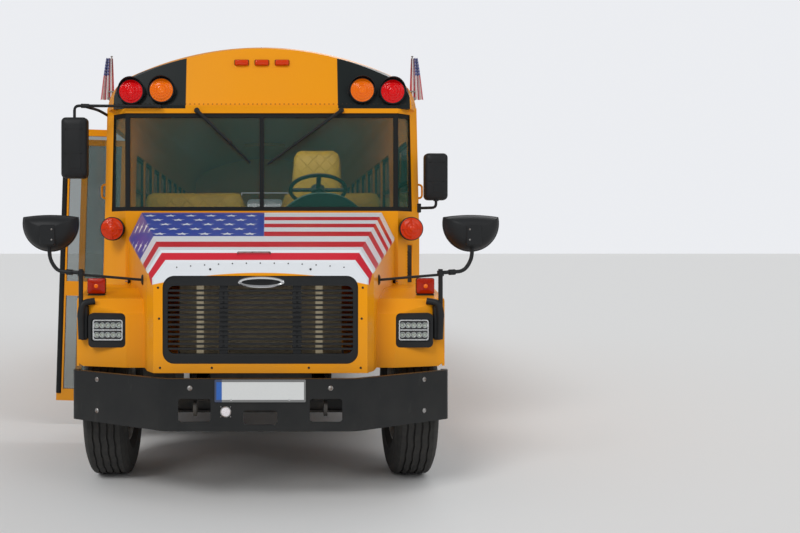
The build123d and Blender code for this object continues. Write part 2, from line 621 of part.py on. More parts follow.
def make_axles():
    """Front beam with its springs, rear drive axle with its springs and propeller shaft, and the knuckles."""
    z = TYRE_RADIUS
    beam = block(-KINGPIN_X + 80, KINGPIN_X - 80, FRONT_AXLE - 45, FRONT_AXLE + 45, z - 110, z - 20)
    beam -= block(-KINGPIN_X + 160, KINGPIN_X - 160, FRONT_AXLE - 60, FRONT_AXLE - 20, z - 95, z - 35)
    beam -= block(-KINGPIN_X + 160, KINGPIN_X - 160, FRONT_AXLE + 20, FRONT_AXLE + 60, z - 95, z - 35)
    for side in (-1, 1):
        beam += rod((side * KINGPIN_X, FRONT_AXLE, z - 50), (side * KINGPIN_X, FRONT_AXLE, z + 50), 34)
        beam += block(*sorted((side * (KINGPIN_X - 100), side * KINGPIN_X)), FRONT_AXLE - 30, FRONT_AXLE + 30,
                      z - 48, z - 14)
        beam += spring(side * SPRING_X, FRONT_AXLE, z + 28, 560, RAIL_BOTTOM - z - 28)
        beam += block(side * SPRING_X - 50, side * SPRING_X + 50, FRONT_AXLE - 60, FRONT_AXLE + 60, z - 40, z + 2)
    save("front_axle", beam)

    tube_end = DUAL_MIDDLE - DUAL_HUB - SEAT_PLAY
    axle = rod((-tube_end, REAR_AXLE, z), (tube_end, REAR_AXLE, z), 62)
    axle += Pos(0, REAR_AXLE, z) * Sphere(190)
    axle += rod((0, REAR_AXLE - 320, z + 30), (0, REAR_AXLE, z + 30), 75)
    axle += rod((0, FRONT_AXLE + 600, RAIL_BOTTOM + 40), (0, REAR_AXLE - 300, z + 40), 46)
    for side in (-1, 1):
        axle += spring(side * SPRING_X, REAR_AXLE, z + 110, 620, RAIL_BOTTOM - z - 110)
        axle += block(side * SPRING_X - 50, side * SPRING_X + 50, REAR_AXLE - 60, REAR_AXLE + 60, z + 40, z + 66)
    save("rear_axle", axle)

    for side, name in ((-1, "right"), (1, "left")):
        pin, eye = side * KINGPIN_X, 50 + SEAT_PLAY
        yoke = rod((pin, FRONT_AXLE, z + eye), (pin, FRONT_AXLE, z + 96), 36)
        yoke += rod((pin, FRONT_AXLE, z - 96), (pin, FRONT_AXLE, z - eye), 36)
        yoke += block(*sorted((pin + side * 42, pin + side * 66)), FRONT_AXLE - 40, FRONT_AXLE + 40, z - 96, z + 96)
        for z0, z1 in ((60, 94), (-94, -60)):
            yoke += block(*sorted((pin, pin + side * 44)), FRONT_AXLE - 34, FRONT_AXLE + 34, z + z0, z + z1)
        yoke += rod((pin + side * 60, FRONT_AXLE, z), (side * (TRACK_HALF + 20), FRONT_AXLE, z), SPINDLE_RADIUS - SEAT_PLAY)
        save(f"knuckle_{name}", yoke)


def turned(points, x, y):
    """A closed profile of (offset along X, radius) points, turned about the axle at (x, y)."""
    profile = make_face(Polyline(*points, close=True))
    plane = Plane(origin=(x, y, TYRE_RADIUS), x_dir=(1, 0, 0), z_dir=(0, -1, 0))
    return revolve(plane * profile, axis=Axis((x, y, TYRE_RADIUS), (1, 0, 0)))


def tyre(x, y):
    """A tyre with a flat tread, round shoulders and bulged sides."""
    bead, half = RIM_WIDE / 2 - RIM_PLATE, TYRE_WIDE / 2
    tread = 112
    side = [(bead, RIM_RADIUS), (bead, RIM_RADIUS + 16), (half - 10, 350), (half, 400), (half - 4, 468), (half - 16, 508), (tread, TYRE_RADIUS)]
    return turned(side + [(-px, pr) for px, pr in reversed(side)], x, y)


def rim(x, y, dish, hub_reach):
    """A wheel: barrel, dished disc and hub. dish is where the disc meets the barrel, along X."""
    half, out = RIM_WIDE / 2, 1 if hub_reach > 0 else -1
    barrel = [(-half, RIM_RADIUS), (-half, RIM_RADIUS + 14), (-half + RIM_PLATE, RIM_RADIUS + 14),
              (-half + RIM_PLATE, RIM_RADIUS), (half - RIM_PLATE, RIM_RADIUS), (half - RIM_PLATE, RIM_RADIUS + 14),
              (half, RIM_RADIUS + 14), (half, RIM_RADIUS), (half - 20, RIM_RADIUS - 18), (-half + 20, RIM_RADIUS - 18)]
    wheel = turned(barrel, x, y)
    face = out * 70
    bore = SPINDLE_RADIUS
    disc = [(dish - out * 12, RIM_RADIUS - 16), (dish, RIM_RADIUS - 16), (face + out * 6, 190), (face + out * 6, bore),
            (face - out * 8, bore), (face - out * 8, 186)]
    plate = turned(disc, x, y)
    for i in range(5):
        angle = math.radians(72 * i + 20)
        cy, cz = y + 222 * math.cos(angle), TYRE_RADIUS + 222 * math.sin(angle)
        plate -= rod((x - 140, cy, cz), (x + 140, cy, cz), 24)
    hub = [(-out * 60, bore), (-out * 60, 150), (face - out * 8, 150), (face, 115), (hub_reach, 100), (hub_reach, bore)]
    return wheel + plate + turned(hub, x, y)


def make_wheels():
    """Front wheels and the rear pairs, each with its tyres."""
    for side, name in ((-1, "right"), (1, "left")):
        x = side * TRACK_HALF
        save(f"tyre_front_{name}", tyre(x, FRONT_AXLE))
        save(f"wheel_front_{name}", rim(x, FRONT_AXLE, side * 40, side * 128) + rod(
            (x + side * 100, FRONT_AXLE, TYRE_RADIUS), (x + side * 132, FRONT_AXLE, TYRE_RADIUS), 60))
        inner, outer = side * (DUAL_MIDDLE - DUAL_STEP / 2), side * (DUAL_MIDDLE + DUAL_STEP / 2)
        save(f"tyres_rear_{name}", [tyre(inner, REAR_AXLE), tyre(outer, REAR_AXLE)])
        wheels = rim(inner, REAR_AXLE, side * 40, side * 100) + rim(outer, REAR_AXLE, -side * 40, -side * 100)
        middle = side * DUAL_MIDDLE
        wheels += rod((middle - DUAL_HUB, REAR_AXLE, TYRE_RADIUS), (middle + DUAL_HUB, REAR_AXLE, TYRE_RADIUS), 98)
        save(f"wheels_rear_{name}", wheels)


def bumper_plan(inset):
    """Outline of the front bumper seen from above, moved back by inset."""
    flat, end = BUMPER_FLAT - inset * 0.35, BUMPER_END - inset
    sweep, back = NOSE + BUMPER_SWEEP + inset * 0.35, NOSE + BUMPER_SWEEP + BUMPER_RETURN
    points = [(-end, back), (-end, sweep), (-flat, NOSE + inset), (flat, NOSE + inset), (end, sweep), (end, back)]
    bend = BUMPER_BEND - inset
    return FilletPolyline(*points, radius=(40 - inset / 2, bend, bend, 40 - inset / 2)) + Line(points[-1], points[0])


def bumper_slab(inset, bottom, top):
    """The bumper's outline as a solid from bottom to top."""
    return extrude(Pos(0, 0, bottom) * make_face(bumper_plan(inset)), amount=top - bottom)


def make_bumpers():
    """Front bumper with its holes, number plate and carriers, and the rear bumper."""
    edge = 10
    bumper = bumper_slab(0, BUMPER_BOTTOM, BUMPER_TOP)
    bumper -= bumper_slab(BUMPER_PLATE, BUMPER_BOTTOM + edge, BUMPER_TOP - edge)
    bumper -= bumper_slab(BUMPER_FLANGE, BUMPER_BOTTOM - 1, BUMPER_TOP + 1)
    # one row a hole: X and height of the middle, width, height, corner
    for x, z, wide, high, corner in (
        (TOW_EYE[0], TOW_EYE_Z, 190, 135, 18), (TOW_EYE[1], TOW_EYE_Z, 190, 135, 18), (0, 550, 200, 86, 22),
    ):
        bumper -= end_port(x, z, wide, high, corner, NOSE - 1, NOSE + 60)
    for x in (-RAIL_OUT + RAIL_FLANGE / 2, RAIL_OUT - RAIL_FLANGE / 2):
        bumper += block(x - 36, x + 36, NOSE + BUMPER_PLATE - 1, NOSE + BUMPER_FLANGE, RAIL_BOTTOM, RAIL_BOTTOM + HORN_HIGH)
    save("front_bumper", bumper)
    plate = end_port(0, 707, 533, 132, 8, NOSE - 8, NOSE)
    save("number_plate", plate)
    middle, high, front = REAR_BUMPER_BOTTOM + REAR_BUMPER_HIGH / 2, REAR_BUMPER_HIGH, TAIL - REAR_BUMPER_DEEP
    rear = end_port(0, middle, REAR_BUMPER_WIDE, high, 30, front, TAIL)
    rear -= end_port(0, middle, REAR_BUMPER_WIDE + 100, high - 4 * BUMPER_PLATE, 10, front - 1, TAIL - BUMPER_PLATE)
    save("rear_bumper", rear)


def make_power():
    """Engine as one block, radiator, fuel tank, battery box and exhaust."""
    engine = block(-330, 330, NOSE + 620, NOSE + 1560, 640, 1290)
    engine += rod((0, NOSE + 520, 900), (0, NOSE + 621, 900), 240)
    for x in (-1, 1):
        engine += block(*sorted((x * 329, x * (RAIL_OUT - RAIL_PLATE))), NOSE + 1000, NOSE + 1120, 690, 740)
    save("engine_block", engine)
    core = block(-500, 500, NOSE + 330, NOSE + 400, 880, 1400)
    tanks = joined([block(x - 26, x + 26, NOSE + 322, NOSE + 408, 870, 1410) for x in (-474, 474)])
    feet = joined([block(x - 25, x + 25, NOSE + 330, NOSE + 400, RAIL_TOP, 890) for x in (-390, 390)])
    save("radiator", core + tanks + feet)
    tank = end_port(-760, 640, 560, 330, 90, NOSE + 3450, NOSE + 4650)
    for y in (NOSE + 3600, NOSE + 4450):
        tank += block(-770, -RAIL_OUT, y - 30, y + 30, 700, 830)
    box = block(560, 1080, NOSE + 3450, NOSE + 4150, 520, 800) + block(RAIL_OUT, 561, NOSE + 3600, NOSE + 3700, 700, 780)
    save("fuel_tank_and_battery_box", [tank, box])
    pipe = rod((EXHAUST_X, NOSE + 4300, 560), (EXHAUST_X, REAR_AXLE - 800, 560), 50)
    pipe += rod((EXHAUST_X, NOSE + 4600, 560), (EXHAUST_X, NOSE + 5700, 560), 120)
    for y in (NOSE + 4700, NOSE + 5600):
        pipe += block(RAIL_OUT, EXHAUST_X, y - 15, y + 15, 640, RAIL_BOTTOM + 60)
    save("exhaust", pipe)


def hood_nose(inset):
    """The middle of the hood: flat top, sloping shoulders and flared sides, moved in by inset."""
    faces = []
    for row, (y, top_x, top_z, side_x, side_z) in enumerate(HOOD_SECTIONS):
        y = y + (inset, inset * 0.5, 1)[row] if inset else y
        tx, tz, sx, sz = top_x - inset * 0.7, top_z - inset, side_x - inset, side_z - inset * 0.5
        bottom = HOOD_BOTTOM - inset
        line = Polyline((-sx, bottom), (-sx, sz), (-tx, tz), (tx, tz), (sx, sz), (sx, bottom), close=True)
        faces.append(Plane(origin=(0, y, 0), x_dir=(1, 0, 0), z_dir=(0, -1, 0)) * make_face(line))
    return loft(faces, ruled=True)


def hood_side(y, z):
    """A point on the hood's flared side on the +X half, and the way that the side faces there."""
    (y0, _, _, x0, _), (y1, _, _, x1, _) = HOOD_SECTIONS[1:]
    slope = (x1 - x0) / (y1 - y0)
    return Vector(x0 + (y - y0) * slope, y, z), Vector(1, -slope, 0).normalized()


def hood_pod(side, inset):
    """One fender: swept front face and a top that rises to the back, moved in by inset."""
    outer, inner = POD_OUTER - inset, POD_INNER - 60 + inset
    front, corner = POD_FRONT + inset, POD_FRONT + POD_SWEEP + inset * 1.1
    plan = Polyline((side * inner, front), (side * (POD_INNER + 140), front), (side * outer, corner),
                    (side * outer, HOOD_BACK + (1 if inset else 0)), (side * inner, HOOD_BACK + (1 if inset else 0)), close=True)
    slab = extrude(Pos(0, 0, HOOD_BOTTOM - inset) * make_face(plan), amount=600)
    top = Polyline((POD_FRONT - 1, HOOD_BOTTOM - inset - 1), (POD_FRONT - 1, POD_TOP_FRONT - inset - 60),
                   (POD_FRONT + 130, POD_TOP_FRONT + 30 - inset), (POD_FRONT + 500, POD_TOP_BACK - inset),
                   (HOOD_BACK + 2, POD_TOP_BACK - inset), (HOOD_BACK + 2, HOOD_BOTTOM - inset - 1), close=True)
    plane = Plane(origin=(-HALF, 0, 0), x_dir=(0, 1, 0), z_dir=(1, 0, 0))
    return slab & extrude(plane * make_face(top), amount=BODY_WIDTH)


def wheel_well(radius, x0, x1):
    """A round space about the front axle between two places along X."""
    return rod((x0, FRONT_AXLE, TYRE_RADIUS), (x1, FRONT_AXLE, TYRE_RADIUS), radius)


def make_hood():
    """The tilting hood with both fenders, its wheel liners and its hinge brackets."""
    outer = hood_nose(0) + hood_pod(-1, 0) + hood_pod(1, 0)
    inner = hood_nose(HOOD_WALL) + hood_pod(-1, HOOD_WALL) + hood_pod(1, HOOD_WALL)
    hood = outer - inner
    middle = (GRILLE_BOTTOM + GRILLE_TOP) / 2
    hood -= end_port(0, middle, 2 * GRILLE_HALF, GRILLE_TOP - GRILLE_BOTTOM, GRILLE_CORNER, NOSE, HOOD_FRONT + 40)
    for side in (-1, 1):
        hood -= end_port(side * HEADLAMP_X, HEADLAMP_Z, HEADLAMP_BEZEL, HEADLAMP_BEZEL - 20, 30, NOSE, POD_FRONT + 160)
        hood -= wheel_well(LINER_RADIUS, side * LINER_INNER, side * (POD_OUTER - HOOD_WALL))
        hood -= wheel_well(ARCH_RADIUS, side * (POD_OUTER - HOOD_WALL - 5), side * (POD_OUTER + 5))
        liner = wheel_well(LINER_RADIUS + LINER_PLATE, side * LINER_INNER, side * (POD_OUTER - HOOD_WALL))
        liner -= wheel_well(LINER_RADIUS, side * (LINER_INNER - 1), side * (POD_OUTER + 1))
        hood += liner & block(-HALF, HALF, POD_FRONT, HOOD_BACK, HOOD_BOTTOM, ROOF_TOP) & outer
        x0, x1 = sorted((side * (HINGE_X + 18), side * (HINGE_X + 38)))
        arm = block(x0, x1, HOOD_FRONT + 4, HINGE_Y + 12, HINGE_Z - 4, GRILLE_BOTTOM - 4)
        arm += rod((x0, HINGE_Y, HINGE_Z), (x1, HINGE_Y, HINGE_Z), HINGE_BOSS)
        hood += arm
        hood -= rod((x0 - 2, HINGE_Y, HINGE_Z), (x1 + 2, HINGE_Y, HINGE_Z), HINGE_RADIUS + 0.3)
    save("hood", hood)


def make_grille():
    """Grille frame with its slats and two uprights."""
    middle, high, wide = (GRILLE_BOTTOM + GRILLE_TOP) / 2, GRILLE_TOP - GRILLE_BOTTOM, 2 * GRILLE_HALF
    y0, y1 = HOOD_FRONT + 8, HOOD_FRONT + 8 + GRILLE_DEPTH
    frame = end_port(0, middle, wide, high, GRILLE_CORNER, y0, y1)
    frame -= end_port(0, middle, wide - GRILLE_BAND, high - 2 * GRILLE_BAND, GRILLE_CORNER - 30, y0 - 1, y1 + 1)
    low, room = GRILLE_BOTTOM + GRILLE_BAND, high - 2 * GRILLE_BAND
    for i in range(GRILLE_SLATS):
        z = low + room * (i + 1) / (GRILLE_SLATS + 1)
        frame += block(-GRILLE_HALF + 20, GRILLE_HALF - 20, y0 + 4, y1 - 6, z - 6, z + 6)
    for x in (-245, 195):
        frame += block(x, x + 50, y0 + 12, y1, low - 5, low + room + 5)
    save("grille", frame)


def lamp(x, z, y, radius, depth, facing, share=0.6):
    """A round lamp that stands out of a wall along Y: a barrel over a share of its depth, and a lens."""
    barrel = rod((x, y, z), (x, y + facing * depth * share, z), radius)
    return barrel + rod((x, y, z), (x, y + facing * depth, z), radius * 0.8)


def make_lamps():
    """Lamps of the hood, the cowl and both ends of the body."""
    lamps = []
    for side in (-1, 1):
        x, z, y = side * HEADLAMP_X, HEADLAMP_Z, POD_FRONT + 75
        bezel = end_port(x, z, HEADLAMP_BEZEL, HEADLAMP_BEZEL - 20, 30, y - 55, y + 60)
        bezel -= end_port(x, z, *HEADLAMP_LENS, 20, y - 56, y + 20)
        lamps.append(bezel + end_port(x, z, *HEADLAMP_LENS, 20, y, y + 30))
    save("headlamps", lamps)
    base = POD_TOP_FRONT + 30
    turn = [block(side * HOOD_LAMP_X - 60, side * HOOD_LAMP_X + 60, NOSE + 640, NOSE + 700, base - 20, base + 134)
            - hood_pod(side, 0) for side in (-1, 1)]
    save("turn_lamps", turn)
    cap = cap_solid()
    front = [lamp(side * x, z, CAP_START + 90, LAMP_RADIUS, 140, -1) - cap
             for side in (-1, 1) for x, z in (RED_LAMP, AMBER_LAMP)]
    save("warning_lamps_front", front)
    back = [lamp(side * x, z - 20, BODY_BACK + WALL, LAMP_RADIUS, 60, 1) for side in (-1, 1)
            for x, z in (RED_LAMP, AMBER_LAMP)]
    back += [lamp(side * x, 1210, BODY_BACK + WALL, LAMP_RADIUS, 50, 1) for side in (-1, 1) for x in (HALF - 660, HALF - 430, HALF - 200)]
    save("rear_lamps", back)
    wall = front_wall(0, COWL_BOTTOM, SHOULDER)
    signal = [lamp(side * COWL_LAMP_X, COWL_LAMP_Z, BODY_FRONT + SWEEP_BACK, LAMP_RADIUS, SWEEP_BACK + 55, -1, 0.9) - wall
              for side in (-1, 1)]
    signal += [end_port(x, MARKER_Z, 100, 46, 10, CAP_START + 60, CAP_START + 140) - cap for x in (-MARKER_STEP, 0, MARKER_STEP)]
    save("signal_lamps", signal)


def make_mirrors():
    """Side mirrors on their arms, and the two cross-view mirrors on the fenders."""
    wall, tube, deep = front_wall(0, COWL_BOTTOM, SHOULDER), MIRROR_TUBE, MIRROR_DEEP / 2
    x, y, z = -MIRROR_SIDE_X, BODY_FRONT - 30, SHOULDER + LIP_HIGH / 2
    wide, high = MIRROR_RIGHT
    right = end_port(x, z - 82 - high / 2, wide, high, 40, y - deep, y + deep)
    right += rod((x, y, z - 112), (x, y, z + tube), tube) + rod((x - tube, y, z), (-AMBER_LAMP[0], y, z), tube)
    right += block(-AMBER_LAMP[0] - 30, -AMBER_LAMP[0], y, BODY_FRONT, SHOULDER + 2, SHOULDER + LIP_HIGH)
    right += rod((x + 80, y, z), (-SHOULDER_HALF + 20, BODY_FRONT + SWEEP_BACK + 25, SHOULDER - 43), tube) - wall
    wide, high = MIRROR_LEFT
    x, y, z = MIRROR_SIDE_X - MIRROR_LEFT_IN, BODY_FRONT + 105, GLASS_BOTTOM + 30
    left = end_port(x, z + 57 + high / 2, wide, high, 36, y - deep, y + deep)
    left += rod((x, y, z - tube), (x, y, z + 75), tube) + (rod((x, y, z), (SHOULDER_HALF, y + 100, z), tube) - wall)
    save("side_mirrors", [right, left])
    x, y, z, radius = CROSS_MIRROR_X, CROSS_MIRROR_Y, CROSS_MIRROR_Z, CROSS_MIRROR_RADIUS
    deep = CROSS_MIRROR_DEEP
    ball = (radius**2 + deep**2) / (2 * deep)
    turn = math.asin(radius / ball) / 2
    arc = ThreePointArc((0, -deep), (ball * math.sin(turn), ball - deep - ball * math.cos(turn)), (radius, 0))
    half = make_face(Line((0, 0), (0, -deep)) + arc + Line((radius, 0), (0, 0)))
    mirror_arm = Pos(x, y, z) * revolve(Plane.XY * half, axis=Axis.Y)
    mirror_arm -= block(x - 2 * radius, x + 2 * radius, y - 2 * deep, y + deep, z + CROSS_MIRROR_CROWN, z + 2 * radius)
    mirror_arm += rod((x, y - 40, z - 110), (x - 60, y - 40, CROSS_ARM_Z), 12)
    mirror_arm += rod((x - 64, y - 40, CROSS_ARM_Z + 2), (POST_X - 6, POST_Y - 4, CROSS_ARM_Z - 6), 13)
    mirror_arm += rod((POST_X, POST_Y, 1000), (POST_X, POST_Y, CROSS_ARM_Z + 14), 15)
    bracket = block(POST_X - 50, POST_X + 15, POST_Y - 14, POST_Y + 60, 960, POD_TOP_FRONT)
    mirror_arm += bracket - hood_pod(1, 0)
    foot, out = hood_side(POST_Y + 60, CROSS_FOOT_Z)
    mirror_arm += rod(foot + out * SEAT_PLAY, foot + out * 14, 34)
    mirror_arm += rod((POST_X, POST_Y, CROSS_ARM_Z - 24), foot + out * 12, 8)
    save("cross_view_mirrors", pair(mirror_arm))


def make_seats():
    """Two columns of bench seats, as cushions with their legs and as backs, and the driver's seat."""
    cushions, backs = [], []
    for side in (-1, 1):
        x0, x1 = sorted((side * SEAT_INNER, side * SEAT_OUTER))
        for row in range(SEAT_ROWS):
            y, z = SEAT_START + row * SEAT_PITCH, FLOOR_TOP
            cushion = block(x0, x1, y - CUSHION_DEEP, y, z + CUSHION_TOP - CUSHION_THICK, z + CUSHION_TOP)
            for x in (x0 + 75, x1 - 105):
                cushion += block(x - 15, x + 15, y - 300, y, z, z + CUSHION_TOP - CUSHION_THICK + 1)
            back = block(x0, x1, y, y + BACK_THICK, z + 260, z + BACK_TOP)
            if abs(y - REAR_AXLE) < LINER_RADIUS + CUSHION_DEEP:
                cushion, back = cushion - wheel_house(side, HOUSE_PLATE), back - wheel_house(side, HOUSE_PLATE)
            cushions.append(cushion)
            backs.append(back)
    save("seat_cushions", cushions)
    save("seat_backs", backs)
    x, y = DRIVER_X, DRIVER_Y
    seat = block(x - 240, x + 240, y - 480, y, FLOOR_TOP + 420, FLOOR_TOP + 530)
    seat += block(x - 230, x + 230, y, y + 110, FLOOR_TOP + 430, FLOOR_TOP + DRIVER_BACK_TOP)
    seat += block(x - 150, x + 150, y - 400, y, FLOOR_TOP, FLOOR_TOP + 430)
    save("driver_seat", seat)


def make_dash():
    """Dashboard behind the windshield, and the steering wheel on its column."""
    left, back = HALF - WALL - 24, DASH_Y + DASH_DEEP
    dash = block(-DASH_RIGHT, left, DASH_Y, back, DASH_BOTTOM, DASH_TOP)
    dash += block(DRIVER_X - 350, DRIVER_X + 350, DASH_Y + 20, back, DASH_TOP - 1, DASH_TOP + DASH_HUMP)
    for x in (-DASH_RIGHT + 50, left - 100):
        dash += block(x - 30, x + 30, DASH_Y + 70, DASH_Y + 210, FLOOR_TOP, DASH_BOTTOM + 10)
    save("dashboard", dash)
    place = Pos(DRIVER_X - 15, back + 120, DASH_TOP + WHEEL_OVER_DASH) * Rot(-COLUMN_TILT, 0, 0)
    wheel = Torus(225, 16) + Cylinder(55, 50) + Box(430, 36, 16) + Pos(0, -105, 0) * Box(36, 210, 16)
    column = Pos(0, 0, -220) * Cylinder(28, 400)
    save("steering_wheel", place * (wheel + column) - dash)


def make_trim():
    """Rub rails, wipers and the two small flags."""
    rails = []
    # one row a rail: height of its middle, height
    for z, high in ((SKIRT_BOTTOM + 150, 110), (FLOOR_TOP - 20, 90), (BELT - 90, 90), (SHOULDER - 100, 70)):
        for side in (-1, 1):
            spans = [(DOOR_BACK + 60 if side < 0 else BODY_FRONT + FRONT_DEPTH + 40, BODY_BACK - 30)]
            if z - high / 2 < TYRE_RADIUS + ARCH_RADIUS:
                arch = ARCH_RADIUS + 20
                spans = [(spans[0][0], REAR_AXLE - arch), (REAR_AXLE + arch, spans[0][1])]
            for y0, y1 in spans:
                x0, x1 = sorted((side * SHOULDER_HALF, side * (wall_x(z) + RUB_RAIL)))
                rails.append(block(x0, x1, y0, y1, z - high / 2, z + high / 2) - along_y(section(0), y0, y1))
    save("rub_rails", rails)
    wipers = []
    for x, tip in ((-490, (-85, SHOULDER - 410)), (600, (45, SHOULDER - 420))):
        y = BODY_FRONT - 14
        z = (GLASS_TOP + SHOULDER) / 2 + 1
        arm = rod((x, y, z), (tip[0], y, tip[1]), 9) + rod((x, y - 14, z), (x, BODY_FRONT, z), 16)
        wipers.append(arm)
    save("wipers", wipers)
    flags = []
    for side in (-1, 1):
        x, y, low, high = side * (HALF - 45), BODY_FRONT + 260, SHOULDER + 90, ROOF_TOP - 50
        pole = rod((x, y, low), (x, y, high), 5) + block(x - 14, x + 14, y - 14, y + 14, low, low + 70)
        pole -= cap_solid()
        cloth = block(*sorted((x - side * 2, x + side * 70)), y - 40, y + 40, low + 90, high - 10)
        flags.append(pole + cloth)
    save("roof_flags", flags)


def make_stop_arm():
    """The folding arm on the driver's side, with its bare eight-sided plate."""
    x, y, z = HALF + STOP_ARM_OUT, STOP_ARM_Y, STOP_ARM_Z
    plate = Plane(origin=(x, y + 260, z), x_dir=(0, 1, 0), z_dir=(1, 0, 0))
    arm = extrude(plate * RegularPolygon(240, 8, rotation=22.5), amount=8)
    arm += block(x, x + 8, y, y + 100, z - 100, z + 100)
    arm += rod((x, y, z - 110), (x, y, z + 110), STOP_ARM_PIN)
    case = block(HALF, x - STOP_ARM_PIN - SEAT_PLAY, y - 60, y + 20, z - 150, z + 110)
    save("stop_arm_case", case)
    save("stop_arm", arm)


def main():
    """Write every sub-part."""
    os.makedirs("parts", exist_ok=True)
    make_walls()
    panes = make_windows()
    save("body_glass", make_rear(panes))
    make_roof()
    make_front()
    make_floor()
    make_entrance()
    make_chassis()
    make_axles()
    make_wheels()
    make_bumpers()
    make_power()
    make_hood()
    make_grille()
    make_lamps()
    make_mirrors()
    make_seats()
    make_dash()
    make_trim()
    make_stop_arm()


main()
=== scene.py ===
# %% [markdown]
# # A school bus, dressed
#
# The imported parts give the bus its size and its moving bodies. This script gives it its paint, glass,
# tyres, lamps, seats and flags. All lengths are metres: +X is the driver's side, -Y the front, +Z up, and
# the ground is at zero. Every piece is worked out where the parts already are, and rides on one of their
# bodies.

# %% Start
import math

import bpy
import numpy as np
from mathutils import Matrix, Vector
from mathutils.bvhtree import BVHTree


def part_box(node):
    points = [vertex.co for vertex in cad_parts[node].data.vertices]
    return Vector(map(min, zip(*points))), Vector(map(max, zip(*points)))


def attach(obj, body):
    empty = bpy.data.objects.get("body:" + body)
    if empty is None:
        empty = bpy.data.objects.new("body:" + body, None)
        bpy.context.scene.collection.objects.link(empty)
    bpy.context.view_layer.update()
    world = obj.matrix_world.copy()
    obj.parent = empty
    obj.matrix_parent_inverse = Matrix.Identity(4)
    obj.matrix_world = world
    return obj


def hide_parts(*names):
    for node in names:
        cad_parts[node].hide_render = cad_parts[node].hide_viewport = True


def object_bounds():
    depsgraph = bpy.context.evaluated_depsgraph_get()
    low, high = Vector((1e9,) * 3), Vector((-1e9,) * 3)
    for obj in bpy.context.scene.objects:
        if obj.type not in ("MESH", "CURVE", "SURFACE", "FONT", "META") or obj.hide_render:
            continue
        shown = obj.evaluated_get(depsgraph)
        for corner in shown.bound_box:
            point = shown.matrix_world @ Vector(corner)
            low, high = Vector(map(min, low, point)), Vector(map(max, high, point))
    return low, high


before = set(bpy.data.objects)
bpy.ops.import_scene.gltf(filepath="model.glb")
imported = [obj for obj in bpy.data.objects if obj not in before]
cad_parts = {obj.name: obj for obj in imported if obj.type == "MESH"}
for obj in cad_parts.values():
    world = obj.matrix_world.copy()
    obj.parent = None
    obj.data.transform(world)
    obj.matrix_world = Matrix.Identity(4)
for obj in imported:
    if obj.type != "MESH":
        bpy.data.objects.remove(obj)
cad_box = [list(corner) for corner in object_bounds()]
spans = [round(high - low, 3) for low, high in zip(*cad_box)]
print("the packed bus is", spans, "metres wide over its mirrors, long and high")

# %% [markdown]
# ## Camera
# The photograph was taken from chest height, straight at the nose, 5.8 m from the bumper. The bus stands
# left of the picture's middle, so the lens is shifted instead of the camera being turned.

# %% Camera
CAMERA_PLACE, LENS_MM, SENSOR_MM, SHIFT = (0.041, -11.25, 1.53), 44.64, 36, (0.166, -0.0206)
camera_data = bpy.data.cameras.new("camera")
camera_data.sensor_width, camera_data.lens = SENSOR_MM, LENS_MM
camera_data.shift_x, camera_data.shift_y = SHIFT
camera = bpy.data.objects.new("camera", camera_data)
camera.location = CAMERA_PLACE
camera.rotation_euler = (math.radians(90), 0, 0)
bpy.context.scene.collection.objects.link(camera)
bpy.context.scene.camera = camera
bpy.context.scene.view_settings.view_transform = "Standard"
print("the camera stands", round(cad_box[0][1] - CAMERA_PLACE[1], 2), "m in front of the bumper")

# %% [markdown]
# ## Forms
# Each piece could be modelled by hand from cubes and cylinders. Here each is worked out by a formula
# instead, so a changed number changes the shape and nothing else has to be redone. A form is a set of
# points and faces that isn't an object yet. Grids of points, profiles turned about an axis and outlines at
# rising heights all end as forms, and forms are moved, copied, mirrored and added.


# %% Forms
class Form:
    """Points and faces: corners lists every face's point numbers in turn, sizes how many each face takes."""

    def __init__(self, points, corners, sizes, coats=None):
        self.points = np.asarray(points, float).reshape(-1, 3)
        self.corners = np.asarray(corners, int).ravel()
        self.sizes = np.asarray(sizes, int).ravel()
        self.coats = np.zeros(len(self.sizes), int) if coats is None else np.asarray(coats, int)

    def __add__(self, other):
        return Form(
            np.concatenate([self.points, other.points]),
            np.concatenate([self.corners, other.corners + len(self.points)]),
            np.concatenate([self.sizes, other.sizes]),
            np.concatenate([self.coats, other.coats]),
        )

    def coat(self, number):
        """The same form with every face in the given material slot."""
        return Form(self.points, self.corners, self.sizes, np.full(len(self.sizes), number))

    def placed(self, x=0.0, y=0.0, z=0.0):
        """The form moved by an offset."""
        return Form(self.points + (x, y, z), self.corners, self.sizes, self.coats)

    def turned(self, degrees, axis):
        """The form turned about an axis through the origin, "X", "Y" or "Z"."""
        matrix = np.array(Matrix.Rotation(math.radians(degrees), 3, axis))
        return Form(self.points @ matrix.T, self.corners, self.sizes, self.coats)

    def sized(self, x=1.0, y=1.0, z=1.0):
        """The form stretched along the axes by positive factors."""
        return Form(self.points * (x, y, z), self.corners, self.sizes, self.coats)

    def mirrored(self):
        """The form on the other side of the bus, with its faces still outward."""
        starts = np.repeat(np.cumsum(self.sizes) - self.sizes, self.sizes)
        place = np.arange(len(self.corners)) - starts
        flipped = self.corners[starts + np.repeat(self.sizes, self.sizes) - 1 - place]
        return Form(self.points * (-1, 1, 1), flipped, self.sizes, self.coats)

    def both(self):
        """The form and its mirror image."""
        return self + self.mirrored()

    def at(self, places):
        """One copy of the form at each row (x, y, z) of places."""
        places = np.asarray(places, float).reshape(-1, 3)
        count, step = len(places), len(self.points)
        points = (places[:, None, :] + self.points[None, :, :]).reshape(-1, 3)
        corners = (np.arange(count)[:, None] * step + self.corners[None, :]).ravel()
        return Form(points, corners, np.tile(self.sizes, count), np.tile(self.coats, count))

    def round_axis(self, count, axis):
        """count copies of the form, evenly turned about an axis through the origin."""
        return total(self.turned(angle, axis) for angle in np.arange(count) * 360 / count)


